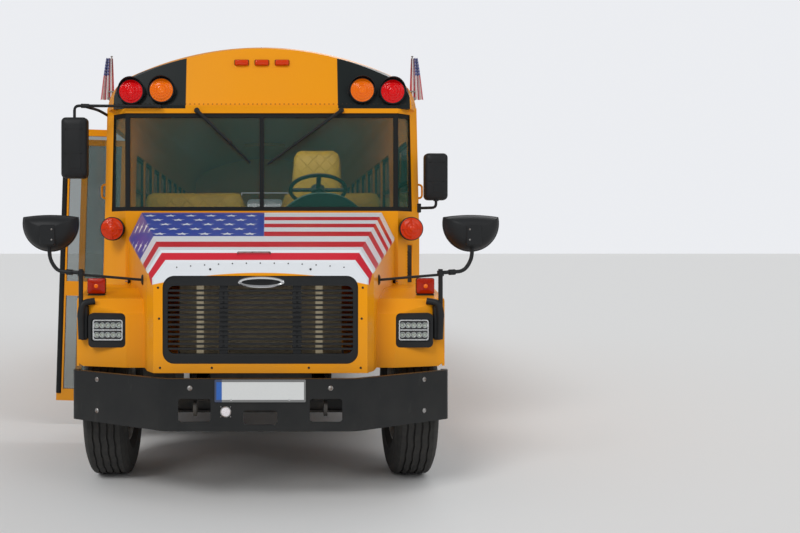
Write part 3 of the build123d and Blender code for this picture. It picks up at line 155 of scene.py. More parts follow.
def total(forms):
    """Many forms as one."""
    forms = list(forms)
    offsets = np.cumsum([0] + [len(f.points) for f in forms[:-1]])
    return Form(
        np.concatenate([f.points for f in forms]),
        np.concatenate([f.corners + o for f, o in zip(forms, offsets)]),
        np.concatenate([f.sizes for f in forms]),
        np.concatenate([f.coats for f in forms]),
    )


def skin(grid, wrap_rows=False, wrap_columns=True, caps=True):
    """A surface through a grid of points of shape (rows, columns, 3).

    Face (i, j) joins points (i, j), (i, j+1), (i+1, j+1) and (i+1, j), counted round where a direction wraps.
    caps closes the first and last rows with one face each. Rows that turn anticlockwise about the direction
    in which they follow each other give outward faces.
    """
    rows, columns = grid.shape[:2]
    i = np.arange(rows if wrap_rows else rows - 1)[:, None]
    j = np.arange(columns if wrap_columns else columns - 1)[None, :]
    below, above, after = i * columns, ((i + 1) % rows) * columns, (j + 1) % columns
    quads = np.stack([below + j, below + after, above + after, above + j], axis=-1).reshape(-1, 4)
    corners, sizes = quads.ravel(), np.full(len(quads), 4)
    if caps and wrap_columns and not wrap_rows:
        ends = np.concatenate([np.arange(columns)[::-1], (rows - 1) * columns + np.arange(columns)])
        corners, sizes = np.concatenate([corners, ends]), np.concatenate([sizes, [columns, columns]])
    return Form(grid, corners, sizes)


def turned_grid(profile, steps):
    """Points round Z from a profile of rows (radius, height): x = r cos a, y = r sin a, z = h."""
    profile = np.asarray(profile, float)
    angle = np.arange(steps) * 2 * np.pi / steps
    radius, height = profile[:, 0:1], profile[:, 1:2]
    return np.stack([radius * np.cos(angle), radius * np.sin(angle), height + 0 * angle], axis=-1)


def lathe(profile, steps=32):
    """A profile turned about Z, its first and last rows closed with one face each."""
    return skin(turned_grid(profile, steps))


def ring(profile, steps=32):
    """A closed profile turned about Z, which leaves a hole in the middle."""
    return skin(turned_grid(profile, steps), wrap_rows=True)


def rounded(width, height, corner, steps=5):
    """The outline of a rectangle with round corners, anticlockwise, as rows (x, y).

    Each quarter circle has its centre (width / 2 - corner, height / 2 - corner) from the middle.
    """
    quarter = np.arange(4)[:, None] * np.pi / 2 + np.linspace(0, np.pi / 2, steps)[None, :]
    sign_x, sign_y = np.array([1, -1, -1, 1])[:, None], np.array([1, 1, -1, -1])[:, None]
    x = sign_x * (width / 2 - corner) + corner * np.cos(quarter)
    y = sign_y * (height / 2 - corner) + corner * np.sin(quarter)
    return np.stack([x.ravel(), y.ravel()], axis=-1)


def inset(outline, depth):
    """A closed anticlockwise outline moved inwards: each point goes by depth along its two normals' mean."""
    before, after = outline - np.roll(outline, 1, 0), np.roll(outline, -1, 0) - outline
    tangent = before / (np.linalg.norm(before, axis=1, keepdims=True) + 1e-12)
    tangent += after / (np.linalg.norm(after, axis=1, keepdims=True) + 1e-12)
    tangent /= np.linalg.norm(tangent, axis=1, keepdims=True) + 1e-12
    return outline + depth * np.stack([-tangent[:, 1], tangent[:, 0]], axis=-1)


def outline_grid(layers):
    """The points of outlines at their heights: layers is a list of (outline, height)."""
    return np.stack([np.column_stack([outline, np.full(len(outline), height)]) for outline, height in layers])


def stack(layers):
    """A closed form through outlines at rising heights."""
    return skin(outline_grid(layers))


def hoop(layers):
    """A closed frame with a hole, through the outlines that go round its section."""
    return skin(outline_grid(layers), wrap_rows=True)


def rectangles(rows):
    """Layers of rectangles with round corners, from rows (width, height, corner, level)."""
    return [(rounded(width, height, corner), level) for width, height, corner, level in rows]


def slab(outline, low, high, edge=0.002):
    """An outline given a thickness along Z, its rims taken off by edge."""
    thin = inset(outline, edge)
    return stack([(thin, low), (outline, low + edge), (outline, high - edge), (thin, high)])


def bar(x, y, z, edge=0.002):
    """A block from (low, high) pairs, its edges rounded off by edge, or by less where it is thin."""
    wide, deep, tall = (high - low for low, high in (x, y, z))
    outline = rounded(wide, deep, min(edge * 1.5, wide / 2.2, deep / 2.2), 3)
    return slab(outline, z[0], z[1], min(edge, tall / 3)).placed(sum(x) / 2, sum(y) / 2)


LEAN = np.array((0.31, 0.17, 0.93))  # no rod on the bus runs this way, so the cross product is never zero


def tube(path, radius, sides=10):
    """A rod along a path of points: rings of the given radius square to the path's direction.

    The ring's two directions are the cross products of the path's direction with LEAN and with the first.
    """
    path = np.asarray(path, float)
    along = np.gradient(path, axis=0)
    along /= np.linalg.norm(along, axis=1, keepdims=True)
    first = np.cross(along, LEAN)
    first /= np.linalg.norm(first, axis=1, keepdims=True)
    second = np.cross(along, first)
    angle = np.arange(sides) * 2 * np.pi / sides
    radius = np.broadcast_to(np.asarray(radius, float), len(path))[:, None, None]
    grid = path[:, None, :] + radius * (
        np.cos(angle)[None, :, None] * first[:, None, :] + np.sin(angle)[None, :, None] * second[:, None, :]
    )
    return skin(grid)


def bent(corners, radius, steps=6):
    """A path through corner points with each inner corner rounded.

    Each corner becomes the parabola (1-t)^2 a + 2 t (1-t) b + t^2 c, where a and c lie radius away from it.
    """
    corners = np.asarray(corners, float)
    t = np.linspace(0, 1, steps)[:, None]
    pieces = [corners[:1]]
    for before, here, after in zip(corners, corners[1:], corners[2:]):
        back, on = before - here, after - here
        reach = min(radius, np.linalg.norm(back) * 0.45, np.linalg.norm(on) * 0.45)
        a = here + back / np.linalg.norm(back) * reach
        c = here + on / np.linalg.norm(on) * reach
        pieces.append((1 - t) ** 2 * a + 2 * t * (1 - t) * here + t**2 * c)
    return np.concatenate(pieces + [corners[-1:]])


def facing_front(form):
    """A form built to face +Z, turned to face -Y: its x stays, its y becomes z."""
    return form.turned(90, "X")


def facing_side(form, side):
    """A form built to face +Z, turned to face +X (side 1) or -X (side -1), its y still up."""
    return form.turned(90, "X").turned(90 * side, "Z")


def facing_back(form):
    """A form built to face +Z, turned to face +Y."""
    return form.turned(90, "X").turned(180, "Z")


def piece(name, form, finishes, body="root", replaces=(), crease=32):
    """Makes the form an object that rides on a body. finishes is one finish, or one for each coat number."""
    mesh = bpy.data.meshes.new(name)
    mesh.vertices.add(len(form.points))
    mesh.vertices.foreach_set("co", form.points.astype(np.float32).ravel())
    mesh.loops.add(len(form.corners))
    mesh.loops.foreach_set("vertex_index", form.corners.astype(np.int32))
    mesh.polygons.add(len(form.sizes))
    mesh.polygons.foreach_set("loop_start", (np.cumsum(form.sizes) - form.sizes).astype(np.int32))
    mesh.polygons.foreach_set("material_index", form.coats.astype(np.int32))
    mesh.update(calc_edges=True)
    mesh.shade_smooth()
    mesh.set_sharp_from_angle(angle=math.radians(crease))
    for finish in finishes if isinstance(finishes, (list, tuple)) else [finishes]:
        mesh.materials.append(finish.material)
    made = bpy.data.objects.new(name, mesh)
    bpy.context.scene.collection.objects.link(made)
    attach(made, body)
    if replaces:
        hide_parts(*replaces)
    print(f"{name}: {len(form.sizes)} faces on {body}")
    return made


# %% [markdown]
# ## Finishes
# A finish could be a picture wrapped round the piece, but that blurs close up and shows its seams. Here
# each is worked out from the place on the piece, so it is sharp at any size. A wire is one value, colour or
# vector inside a material, and works like a plain number. A finish is one material: its steady numbers sit
# on the shader itself, and wires feed what changes over the surface.


# %% Shader maths
class Wire:
    """One socket's value in a material, with the usual arithmetic."""

    def __init__(self, tree, socket):
        self.tree, self.socket = tree, socket

    def make(self, kind, settings=None, inputs=None, output=0):
        """Adds a node of any kind: its settings first, then its inputs by name or number, values or wires."""
        node = self.tree.nodes.new(kind)
        for name, value in (settings or {}).items():
            setattr(node, name, value)
        for name, value in (inputs or {}).items():
            if isinstance(value, Wire):
                self.tree.links.new(value.socket, node.inputs[name])
            else:
                node.inputs[name].default_value = value
        return Wire(self.tree, node.outputs[output])

    def maths(self, operation, *others, clamp=False):
        """A Math node on this wire and up to two more values."""
        settings = {"operation": operation, "use_clamp": clamp}
        return self.make("ShaderNodeMath", settings, dict(enumerate((self, *others))))

    def __add__(self, other):
        return self.maths("ADD", other)

    __radd__ = __add__

    def __sub__(self, other):
        return self.maths("SUBTRACT", other)

    def __rsub__(self, other):
        return (self * -1) + other

    def __mul__(self, other):
        return self.maths("MULTIPLY", other)

    def __truediv__(self, other):
        return self.maths("DIVIDE", other)

    def __rtruediv__(self, other):
        return self.maths("POWER", -1.0) * other

    def __pow__(self, other):
        return self.maths("POWER", other)

    def __abs__(self):
        return self.maths("ABSOLUTE")

    def most(self, other):
        return self.maths("MAXIMUM", other)

    def above(self, edge, soft=0.001):
        """1 where the wire is over edge, 0 under it, with a ramp as wide as soft between."""
        return ((self - edge) / soft).maths("ADD", 0.5, clamp=True)

    def below(self, edge, soft=0.001):
        return 1 - self.above(edge, soft)

    def between(self, low, high, soft=0.001):
        return self.above(low, soft) * self.below(high, soft)

    def repeat(self, pitch):
        """How far the wire is from the nearest whole multiple of pitch."""
        return abs(self - (self / pitch).maths("ROUND") * pitch)

    def times(self, factors):
        """A vector wire multiplied by three numbers, one for each direction."""
        return self.make("ShaderNodeVectorMath", {"operation": "MULTIPLY"}, {0: self, 1: factors})

    def mix(self, colour_a, colour_b):
        """Colour a where this wire is 0, colour b where it is 1."""
        inputs = {0: self, 6: colour(colour_a), 7: colour(colour_b)}
        return self.make("ShaderNodeMix", {"data_type": "RGBA"}, inputs, 2)


def highest(wires):
    """The largest of several wires at each place."""
    top, *others = wires
    for wire in others:
        top = top.most(wire)
    return top


def colour(value):
    """A colour as four numbers, or the wire that already carries one."""
    return value if isinstance(value, Wire) else (*value[:3], 1.0)


class Finish:
    """One material. The shader's steady sockets are given by name, with _ for each space in it."""

    def __init__(self, name, **sockets):
        self.material = bpy.data.materials.new(name)
        self.material.use_nodes = True
        self.tree = self.material.node_tree
        self.shader = next(n for n in self.tree.nodes if n.type == "BSDF_PRINCIPLED")
        for socket, value in sockets.items():
            value = colour(value) if socket in ("Base_Color", "Emission_Color", "Sheen_Tint") else value
            self.shader.inputs[socket.replace("_", " ")].default_value = value
        coordinates = self.tree.nodes.new("ShaderNodeTexCoord")
        self.place = Wire(self.tree, coordinates.outputs["Object"])
        split = self.tree.nodes.new("ShaderNodeSeparateXYZ")
        self.tree.links.new(self.place.socket, split.inputs[0])
        self.x, self.y, self.z = (Wire(self.tree, split.outputs[n]) for n in range(3))

    def noise(self, size, detail=2.0, stretch=(1, 1, 1)):
        """Cloudy values round 0.5, with patches about as wide as size."""
        inputs = {"Vector": self.place.times(stretch), "Scale": 1 / size, "Detail": detail}
        return self.place.make("ShaderNodeTexNoise", None, inputs)

    def cells(self, size):
        """Distances to scattered points about size apart."""
        return self.place.make("ShaderNodeTexVoronoi", None, {"Vector": self.place, "Scale": 1 / size})

    def facing(self, blend=0.5):
        """0 where the surface is seen square on, 1 where it is seen at a slant."""
        return self.place.make("ShaderNodeLayerWeight", None, {"Blend": blend}, 1)

    def feed(self, socket, wire):
        """Links a wire to one of the shader's sockets."""
        self.tree.links.new(wire.socket, self.shader.inputs[socket])

    def relief(self, height, depth, then=None):
        """Raises the surface by depth metres where height is 1, on top of an earlier relief."""
        inputs = {"Height": height, "Distance": depth, "Strength": 1.0}
        if then is not None:
            inputs["Normal"] = then
        bump = self.place.make("ShaderNodeBump", None, inputs)
        self.tree.links.new(bump.socket, self.shader.inputs["Normal"])
        return bump


# %% [markdown]
# ### Paint
# The yellow is a deep school-bus orange-yellow under clear lacquer. One flat colour with one gloss would
# look like plastic. So noise bends its gloss as sprayed panels have orange peel, and lays road dust over it
# that thickens downwards. Rows of rivets and the panels' joints are pressed into the same surface, because
# separate heads would cost thousands of faces for something that stands out by two millimetres.

# %% Yellow paint
YELLOW, DARK_YELLOW = (0.86, 0.325, 0.001), (0.66, 0.22, 0.0)
DUST = (0.34, 0.20, 0.07)
JET = (0.012, 0.013, 0.014)
ORANGE_PEEL = 0.00006


def yellow_finish(name, coat_roughness=0.08):
    """A lacquered finish that nothing feeds yet."""
    return Finish(name, Roughness=0.3, Coat_Roughness=coat_roughness, Specular_IOR_Level=0.2)


def paint_coat(finish, rivets=None, seams=None):
    """Gives a lacquered finish its yellow, its dust and its orange peel, and pressed lines where asked."""
    patches = finish.noise(0.9, 3)
    drift = finish.noise(0.25, 4) * 0.9 + finish.noise(0.02, 3) * 0.35 - 0.12
    dust = finish.z.below(0.95, 0.9) * drift.maths("MAXIMUM", 0.0, clamp=True)
    faded = (patches * 0.35).mix(YELLOW, (patches * 0.5).mix(YELLOW, DARK_YELLOW))
    finish.feed("Base Color", (dust * 0.40).mix(faded, DUST))
    finish.feed("Roughness", 0.27 + patches * 0.10 + dust * 0.45)
    finish.feed("Coat Weight", (0.15 - dust * 0.15).most(0.0))
    bump = finish.relief(finish.noise(0.006, 1), ORANGE_PEEL)
    bump = finish.relief(finish.noise(0.35, 1), 0.0006, bump)
    for lines, depth in ((seams, 0.0012), (rivets, 0.0018)):
        if lines is not None:
            bump = finish.relief(lines, depth, bump)


def rivet_dots(across, along, line, pitch, radius=0.006):
    """Round heads of a row of rivets: 1 where across is near line and along near a multiple of pitch."""
    return ((across - line) ** 2 + along.repeat(pitch) ** 2).maths("SQRT").below(radius, 0.004)


plain_yellow = yellow_finish("yellow_paint")
paint_coat(plain_yellow)

# %% Side panels and roof
# Side panels have a seam at each window post, and rows of rivets along the rub rails and the eaves.
WINDOW_PITCH, WINDOW_START = 0.711, -2.22
side_yellow = yellow_finish("side_panel_paint")
post = (side_yellow.y - (WINDOW_START - 0.04)).repeat(WINDOW_PITCH)
seam_lines = 1 - post.below(0.0035, 0.002) * side_yellow.z.below(1.70, 0.002)
post_rivets = rivet_dots(post, side_yellow.z, 0.022, 0.10) * side_yellow.z.below(2.45)
rivet_rows = [rivet_dots(side_yellow.z, side_yellow.y, height, 0.09) for height in (0.52, 1.05, 1.63, 2.52)]
paint_coat(side_yellow, highest(rivet_rows + [post_rivets]), seam_lines)

# The roof has a joint across it at every second window, with two rows of rivets.
roof_yellow = yellow_finish("roof_paint", 0.1)
joint = (roof_yellow.y + 3.73).repeat(2 * WINDOW_PITCH)
paint_coat(roof_yellow, rivet_dots(joint, roof_yellow.x, 0.025, 0.10), 1 - joint.below(0.004, 0.002))

# %% [markdown]
# ### Black paint and soiled metal
# The bumpers, rub rails and chassis are painted black and live close to the road. Dirt could be painted on
# by hand, but it settles everywhere by the same rule: where a cloudy noise passes an edge, the clean colour
# turns to the soiled one, and the gloss dulls with it. One function therefore serves
# the chassis, the wheels, bare steel, the floor's rubber and the radiator's frame.


# %% Black paint and soiled metal
def weathered(name, clean, soiled, size, detail, edge, gloss, **sockets):
    """A finish that turns from clean to soiled where noise passes edge, which is (place, softness).

    gloss is the roughness where the noise is 0, and what is added to it where the noise is 1.
    """
    finish = Finish(name, **sockets)
    finish.dirt = finish.noise(size, detail)
    finish.feed("Base Color", finish.dirt.above(*edge).mix(clean, soiled))
    finish.feed("Roughness", gloss[0] + finish.dirt * gloss[1])
    return finish


satin_black = Finish("satin_black_paint", Roughness=0.38, Base_Color=JET, Specular_IOR_Level=0.2)
scuffs = satin_black.noise(0.05, 4, (1, 1, 0.3))
grime = satin_black.z.below(0.75, 0.7) * satin_black.noise(0.15, 4)
marks = grime * 0.22 + scuffs.above(0.68, 0.1) * 0.10
satin_black.feed("Base Color", marks.mix(JET, (0.10, 0.095, 0.085)))
satin_black.feed("Roughness", 0.22 + satin_black.noise(0.6, 3) * 0.14 + grime * 0.25)
satin_black.relief(satin_black.noise(0.004, 2), 0.00008)

chassis_black = weathered("chassis_paint", (0.018, 0.018, 0.018), (0.07, 0.06, 0.048), 0.12, 5, (0.55, 0.25),
                          (0.5, 0.4), Roughness=0.65, Base_Color=(0.02, 0.02, 0.02))
chassis_black.relief(chassis_black.noise(0.01, 4), 0.0006)

wheel_paint = weathered("wheel_paint", (0.46, 0.46, 0.45), (0.19, 0.17, 0.15), 0.06, 4, (0.42, 0.4),
                        (0.32, 0.4), Base_Color=(0.42, 0.42, 0.41), Roughness=0.42, Metallic=0.1)
wheel_paint.relief(wheel_paint.noise(0.004, 2), 0.0001)

steel = weathered("bare_steel", (0.36, 0.35, 0.34), (0.16, 0.08, 0.04), 0.03, 5, (0.60, 0.2),
                  (0.30, 0.4), Base_Color=(0.35, 0.34, 0.33), Metallic=0.9, Roughness=0.4)
steel.relief(steel.dirt, 0.0002)

floor_rubber = weathered("ribbed_floor_rubber", (0.028, 0.028, 0.028), (0.10, 0.09, 0.075), 0.3, 5,
                         (0.45, 0.4), (0.55, 0.3), Base_Color=(0.035, 0.035, 0.035), Roughness=0.7)
floor_rubber.relief(floor_rubber.x.repeat(0.012).above(0.003, 0.002), 0.0015)

# The radiator's beige frames also glow a little through their emission: painted light that lifts them out of
# the shade behind the grille.
beige_frame_painted_glow = weathered("beige_frame_painted_glow", (0.88, 0.80, 0.62), (0.50, 0.42, 0.28), 0.05, 5, (0.45, 0.4),
                        (0.5, 0.3), Base_Color=(0.80, 0.72, 0.55), Roughness=0.6,
                        Emission_Color=(0.30, 0.26, 0.18), Emission_Strength=0.5)
beige_frame_painted_glow.relief(beige_frame_painted_glow.dirt, 0.0006)
print("finishes so far:", len(bpy.data.materials))

# %% [markdown]
# ### The hood's painted flag
# The rear quarter on the entrance side is blue with staggered white stars. Six stripes fill the rear
# quarter beside it, and the rest run right across. The pattern ends along the hood's shoulders. It could be
# an image laid over the hood. Written as a rule of the place on the hood, every edge stays sharp from close
# by.

# %% Stripes and blue field
FLAG_RED, FLAG_WHITE, FLAG_BLUE = (0.60, 0.002, 0.020), (0.76, 0.79, 0.82), (0.025, 0.065, 0.38)
FIELD_EDGE, FIELD_FRONT, FULL_WIDTH = 0.02, 0.705, -9.0
# Each row: where a red stripe starts and ends behind the nose, and the smallest X at which it shows.
RED_STRIPES = [(1.334, 1.484, FIELD_EDGE), (1.039, 1.189, FIELD_EDGE), (FIELD_FRONT, 0.875, FIELD_EDGE),
               (0.335, 0.513, FULL_WIDTH), (0.152, 0.215, FULL_WIDTH)]
hood_paint = Finish("hood_flag_paint", Roughness=0.25, Coat_Roughness=0.06, Coat_Weight=0.08,
                    Specular_IOR_Level=0.15)
behind_nose = hood_paint.y + 5.45
red = highest([behind_nose.between(start, end, 0.004) * hood_paint.x.above(edge_x, 0.004)
               for start, end, edge_x in RED_STRIPES])
blue_field = hood_paint.x.below(FIELD_EDGE, 0.004) * behind_nose.above(FIELD_FRONT, 0.004)
flag = blue_field.mix(red.mix(FLAG_WHITE, FLAG_RED), FLAG_BLUE)

# %% Stars
STAR_ROW, STAR_COLUMN, FIRST_STAR_ROW = 0.187, 0.15, 0.79
TIP_RADIUS, NOTCH_RADIUS, TIP_TO_NOTCH = 0.05, 0.05 * 0.40, math.radians(36)
row_number = ((behind_nose - FIRST_STAR_ROW) / STAR_ROW).maths("ROUND")
stagger = (row_number / 2).maths("FRACT").above(0.25, 0.1) * (STAR_COLUMN / 2)
star_y = behind_nose - FIRST_STAR_ROW - row_number * STAR_ROW
# On the side bevels the pattern goes by the distance over the surface, 2.1 times as far as X does.
half_across = abs(hood_paint.x)
bevel_start = 0.61 + (behind_nose - 0.24) * 0.205
unrolled = half_across + (half_across - bevel_start).most(0.0) * 1.1
star_across = STAR_COLUMN / 2 + stagger - unrolled
star_x = star_across - (star_across / STAR_COLUMN).maths("ROUND") * STAR_COLUMN
from_middle = (star_x**2 + star_y**2).maths("SQRT")
# The angle from a tip is folded to 0..36 degrees, over which the edge runs straight from a tip to a notch.
folded = star_x.maths("ARCTAN2", star_y).repeat(2 * TIP_TO_NOTCH)
star_edge = TIP_RADIUS * NOTCH_RADIUS * math.sin(TIP_TO_NOTCH) / (
    folded.maths("SINE") * TIP_RADIUS + (TIP_TO_NOTCH - folded).maths("SINE") * NOTCH_RADIUS
)
star = (from_middle - star_edge).below(0.0, 0.003) * behind_nose.above(0.72) * hood_paint.x.below(-0.03)
flag = (blue_field * star).mix(flag, FLAG_WHITE)

# %% The flag's lower edge
shoulder = 1.39 + (behind_nose - 0.24) * 0.148
front_roll = 1.394 - half_across**2 * 0.17
over_edge = hood_paint.z - (behind_nose.below(0.19, 0.05) * (front_roll - shoulder) + shoulder)
hood_dust = hood_paint.z.below(1.0, 0.5) * hood_paint.noise(0.2, 4)
hood_yellow = (hood_paint.noise(0.8, 3) * 0.18).mix(YELLOW, DARK_YELLOW)
sun_bleached = (hood_paint.noise(0.5, 4) * 0.06).mix(flag, (0.6, 0.6, 0.6))
dusty_hood = (hood_dust * 0.35).mix(hood_yellow, DUST)
hood_paint.feed("Base Color", over_edge.above(0.0, 0.004).mix(dusty_hood, sun_bleached))
hood_paint.feed("Roughness", 0.24 + hood_paint.noise(0.3, 3) * 0.14 + hood_dust * 0.3)
hood_peel = hood_paint.relief(hood_paint.noise(0.006, 1), ORANGE_PEEL)
hood_paint.relief(over_edge.between(-0.004, 0.0, 0.003), 0.0003, hood_peel)
print("the flag has", len(RED_STRIPES), "red stripes and stars", STAR_COLUMN, "m apart")

# %% [markdown]
# ### The cap over the windshield
# The two sides of the cap are black behind the warning lamps, with a yellow rim left outside. A row of
# rivets runs just above its lip. The black could be a piece of its own, but it is only paint, so it is a
# region of this finish, and shows on the inside of the cap as well.

# %% Cap paint
PANEL_INNER, PANEL_OUTER, PANEL_FOOT = 0.577, 1.125, 2.596
cap_paint = yellow_finish("cap_paint")
cap_side = abs(cap_paint.x)
# The panel's upper edge follows the roof: 3.00 high at its inner end, 2.80 at 1.107 from the middle.
brow = 3.062 - cap_side**2 * 0.18 - (cap_side - 0.95).most(0.0) * 0.28
lens_panel = (cap_side.between(PANEL_INNER, PANEL_OUTER, 0.003) * cap_paint.z.above(PANEL_FOOT, 0.003)
              * (cap_paint.z - brow).below(0.0, 0.003))
cap_yellow = (cap_paint.noise(0.8, 3) * 0.25).mix(YELLOW, DARK_YELLOW)
cap_colour = lens_panel.mix(cap_yellow, (0.010, 0.014, 0.014))
lip_rivets = rivet_dots(cap_paint.z, cap_paint.x, 2.638, 0.034, 0.0055)
cap_paint.feed("Base Color", (lip_rivets * 0.55).mix(cap_colour, (0.05, 0.03, 0.015)))
cap_paint.feed("Roughness", 0.26 + cap_paint.noise(0.4, 3) * 0.12)
cap_paint.feed("Coat Weight", 0.15 - lens_panel * 0.10)
cap_peel = cap_paint.relief(cap_paint.noise(0.006, 1), ORANGE_PEEL)
cap_paint.relief(lip_rivets, 0.0022, cap_peel)

# %% [markdown]
# ### Plastics, rubber and metals
# Mirror shells and the grille are grained black plastic, door edges and the windshield's seal are rubber,
# and the badge's rim is plated. Each could be one plain grey or black. Small changes of gloss tell them
# apart: plastic has a fine grain, rubber is dull and uneven, and plating shows smears.

# %% Plastic and rubber
black_plastic = Finish("moulded_black_plastic", Base_Color=(0.016, 0.017, 0.018), Roughness=0.45,
                       Specular_IOR_Level=0.2)
bloom = black_plastic.noise(0.3, 3)
black_plastic.feed("Base Color", (bloom * 0.5).mix((0.014, 0.015, 0.016), (0.030, 0.031, 0.032)))
black_plastic.feed("Roughness", 0.36 + bloom * 0.22)
black_plastic.relief(black_plastic.cells(0.0016), 0.00010)

rubber = Finish("rubber_trim", Base_Color=(0.011, 0.012, 0.012), Roughness=0.55, Specular_IOR_Level=0.2)
rubber.feed("Roughness", 0.45 + rubber.noise(0.1, 3) * 0.25)
rubber.relief(rubber.noise(0.005, 3), 0.00015)

tyre_finish = Finish("tyre_rubber", Base_Color=(0.022, 0.022, 0.022), Roughness=0.8)
road_dust = tyre_finish.noise(0.035, 5).above(0.45, 0.5)
tyre_finish.feed("Base Color", (road_dust * 0.35).mix((0.016, 0.016, 0.016), (0.070, 0.064, 0.054)))
tyre_finish.feed("Roughness", 0.68 + tyre_finish.noise(0.25, 3) * 0.25)
tyre_finish.relief(tyre_finish.noise(0.008, 4), 0.0005)

# %% Metals
chrome = Finish("bright_plating", Base_Color=(0.80, 0.81, 0.82), Metallic=1.0, Roughness=0.12)
chrome.feed("Roughness", 0.07 + chrome.noise(0.03, 4) * 0.16)
chrome.relief(chrome.noise(0.02, 2), 0.00005)

engine_iron = Finish("engine_iron", Base_Color=(0.05, 0.05, 0.05), Roughness=0.6)
oil = engine_iron.noise(0.08, 5)
engine_iron.feed("Base Color", oil.mix((0.025, 0.022, 0.02), (0.11, 0.10, 0.09)))
engine_iron.feed("Roughness", 0.35 + oil * 0.5)
engine_iron.relief(engine_iron.noise(0.01, 4), 0.001)

# The fins' two colours are lifted well above their own, painted light for the shade behind the grille. The
# darker one lies in the grooves between fins as painted shade.
radiator_metal = Finish("radiator_fins", Base_Color=(0.16, 0.13, 0.09), Roughness=0.55, Metallic=0.4)
fin_crests_and_shade = radiator_metal.x.repeat(0.006) / 0.003
radiator_metal.feed("Base Color", fin_crests_and_shade.mix((0.26, 0.22, 0.15), (0.72, 0.62, 0.44)))
radiator_metal.feed("Roughness", 0.45 + radiator_metal.noise(0.05, 4) * 0.3)
radiator_metal.relief(fin_crests_and_shade, 0.002)

sash_metal = Finish("sash_metal", Base_Color=(0.02, 0.02, 0.021), Roughness=0.4, Metallic=0.3)
sash_metal.feed("Roughness", 0.30 + sash_metal.noise(0.08, 4) * 0.3)
sash_metal.relief(sash_metal.noise(0.003, 2, (1, 0.2, 1)), 0.00008)

# %% [markdown]
# ### Glass and lenses
# The windshield is tinted dark green. Glass could bend the light through it, but a thin pane hardly does,
# and light would then reach the cabin slowly and with noise. So a pane is partly see-through instead: it
# lets the cabin show, and hides more of it at a slant. Lenses are coloured plastic with fine moulded
# prisms.

# %% Glass
def pane(name, tint, clear, deep):
    """A thin tinted pane: opacity clear seen square on, rising to deep at a slant."""
    finish = Finish(name, Base_Color=tint, Roughness=0.03, IOR=1.5, Coat_Weight=0.5, Coat_Roughness=0.02)
    smears = finish.noise(0.25, 4)
    opacity = clear + finish.facing(0.35) * (deep - clear) + smears * 0.04
    finish.feed("Alpha", opacity.maths("ADD", 0.0, clamp=True))
    finish.feed("Roughness", 0.02 + smears.above(0.5, 0.5) * 0.05)
    finish.relief(finish.noise(0.7, 1), 0.0004)
    return finish


windshield_tint = pane("windshield_tint", (0.005, 0.065, 0.052), 0.42, 0.93)
side_tint = pane("side_window_tint", (0.006, 0.050, 0.038), 0.42, 0.90)
clear_pane = pane("clear_cover", (0.55, 0.58, 0.60), 0.015, 0.35)


# %% Lenses and mirrors
def lens(name, shade, glow):
    """A coloured lamp lens: glossy, slightly lit from inside, with fine moulded prisms."""
    finish = Finish(name, Base_Color=shade, Roughness=0.12, Coat_Weight=0.2, Coat_Roughness=0.04,
                    Emission_Color=shade, Emission_Strength=glow, Specular_IOR_Level=0.3)
    prisms = finish.cells(0.006)
    finish.feed("Base Color", prisms.mix((shade[0] * 0.75, shade[1] * 0.6, shade[2] * 0.6), shade))
    finish.feed("Roughness", 0.08 + finish.noise(0.05, 2) * 0.12)
    finish.relief(prisms, 0.0008)
    return finish


red_lens = lens("red_lens", (0.70, 0.001, 0.003), 0.14)
amber_lens = lens("amber_lens", (0.86, 0.17, 0.0), 0.16)
cowl_lens = lens("cowl_lens", (0.66, 0.040, 0.0), 0.10)
turn_lens = lens("turn_lens", (0.42, 0.016, 0.0), 0.05)
clear_lens = lens("clear_lens", (0.80, 0.82, 0.84), 0.05)
mirror_glass = Finish("mirror_glass", Base_Color=(0.78, 0.80, 0.82), Metallic=1.0, Roughness=0.03)
mirror_glass.feed("Roughness", 0.02 + mirror_glass.noise(0.06, 4) * 0.05)
led_chip = Finish("led_chip", Base_Color=(0.50, 0.56, 0.50), Roughness=0.3, Emission_Color=(0.85, 0.90, 0.70),
                  Emission_Strength=0.06)
led_chip.feed("Roughness", 0.2 + led_chip.noise(0.004, 2) * 0.3)

# %% [markdown]
# ### Vinyl and cloth
# The seats are covered in grained vinyl, and two of the covers are stitched in diamonds. The stitching
# could be modelled as threads, but from outside the glass only its shadow line shows, so it is a groove in
# the finish. The small flags are thin woven cloth, whose colours go by the distance across the cloth.

# %% Vinyl
def vinyl(name, shade, worn, quilt=None):
    """Seat vinyl: a fine leather grain, creases, wear in patches, and a stitched quilt where asked."""
    finish = Finish(name, Base_Color=shade, Roughness=0.5, Sheen_Weight=0.05)
    rubbed = finish.noise(0.18, 4)
    finish.feed("Base Color", rubbed.above(0.5, 0.5).mix(shade, worn))
    finish.feed("Roughness", 0.42 + rubbed * 0.2)
    bump = finish.relief(finish.cells(0.0035), 0.0003)
    bump = finish.relief(finish.noise(0.10, 3, (1, 1, 0.4)), 0.003, bump)
    if quilt is not None:
        lines = [way.repeat(quilt).below(0.004, 0.004) for way in (finish.x + finish.z, finish.x - finish.z)]
        finish.relief(1 - highest(lines), 0.004, bump)
    return finish


seat_vinyl = vinyl("seat_vinyl", (0.80, 0.56, 0.015), (0.66, 0.45, 0.03), 0.16)
cushion_vinyl = vinyl("cushion_vinyl", (0.74, 0.50, 0.015), (0.60, 0.40, 0.03))
driver_vinyl = vinyl("driver_cover", (0.56, 0.35, 0.008), (0.46, 0.29, 0.012), 0.11)
dash_vinyl = vinyl("dash_vinyl", (0.022, 0.120, 0.085), (0.035, 0.150, 0.110))

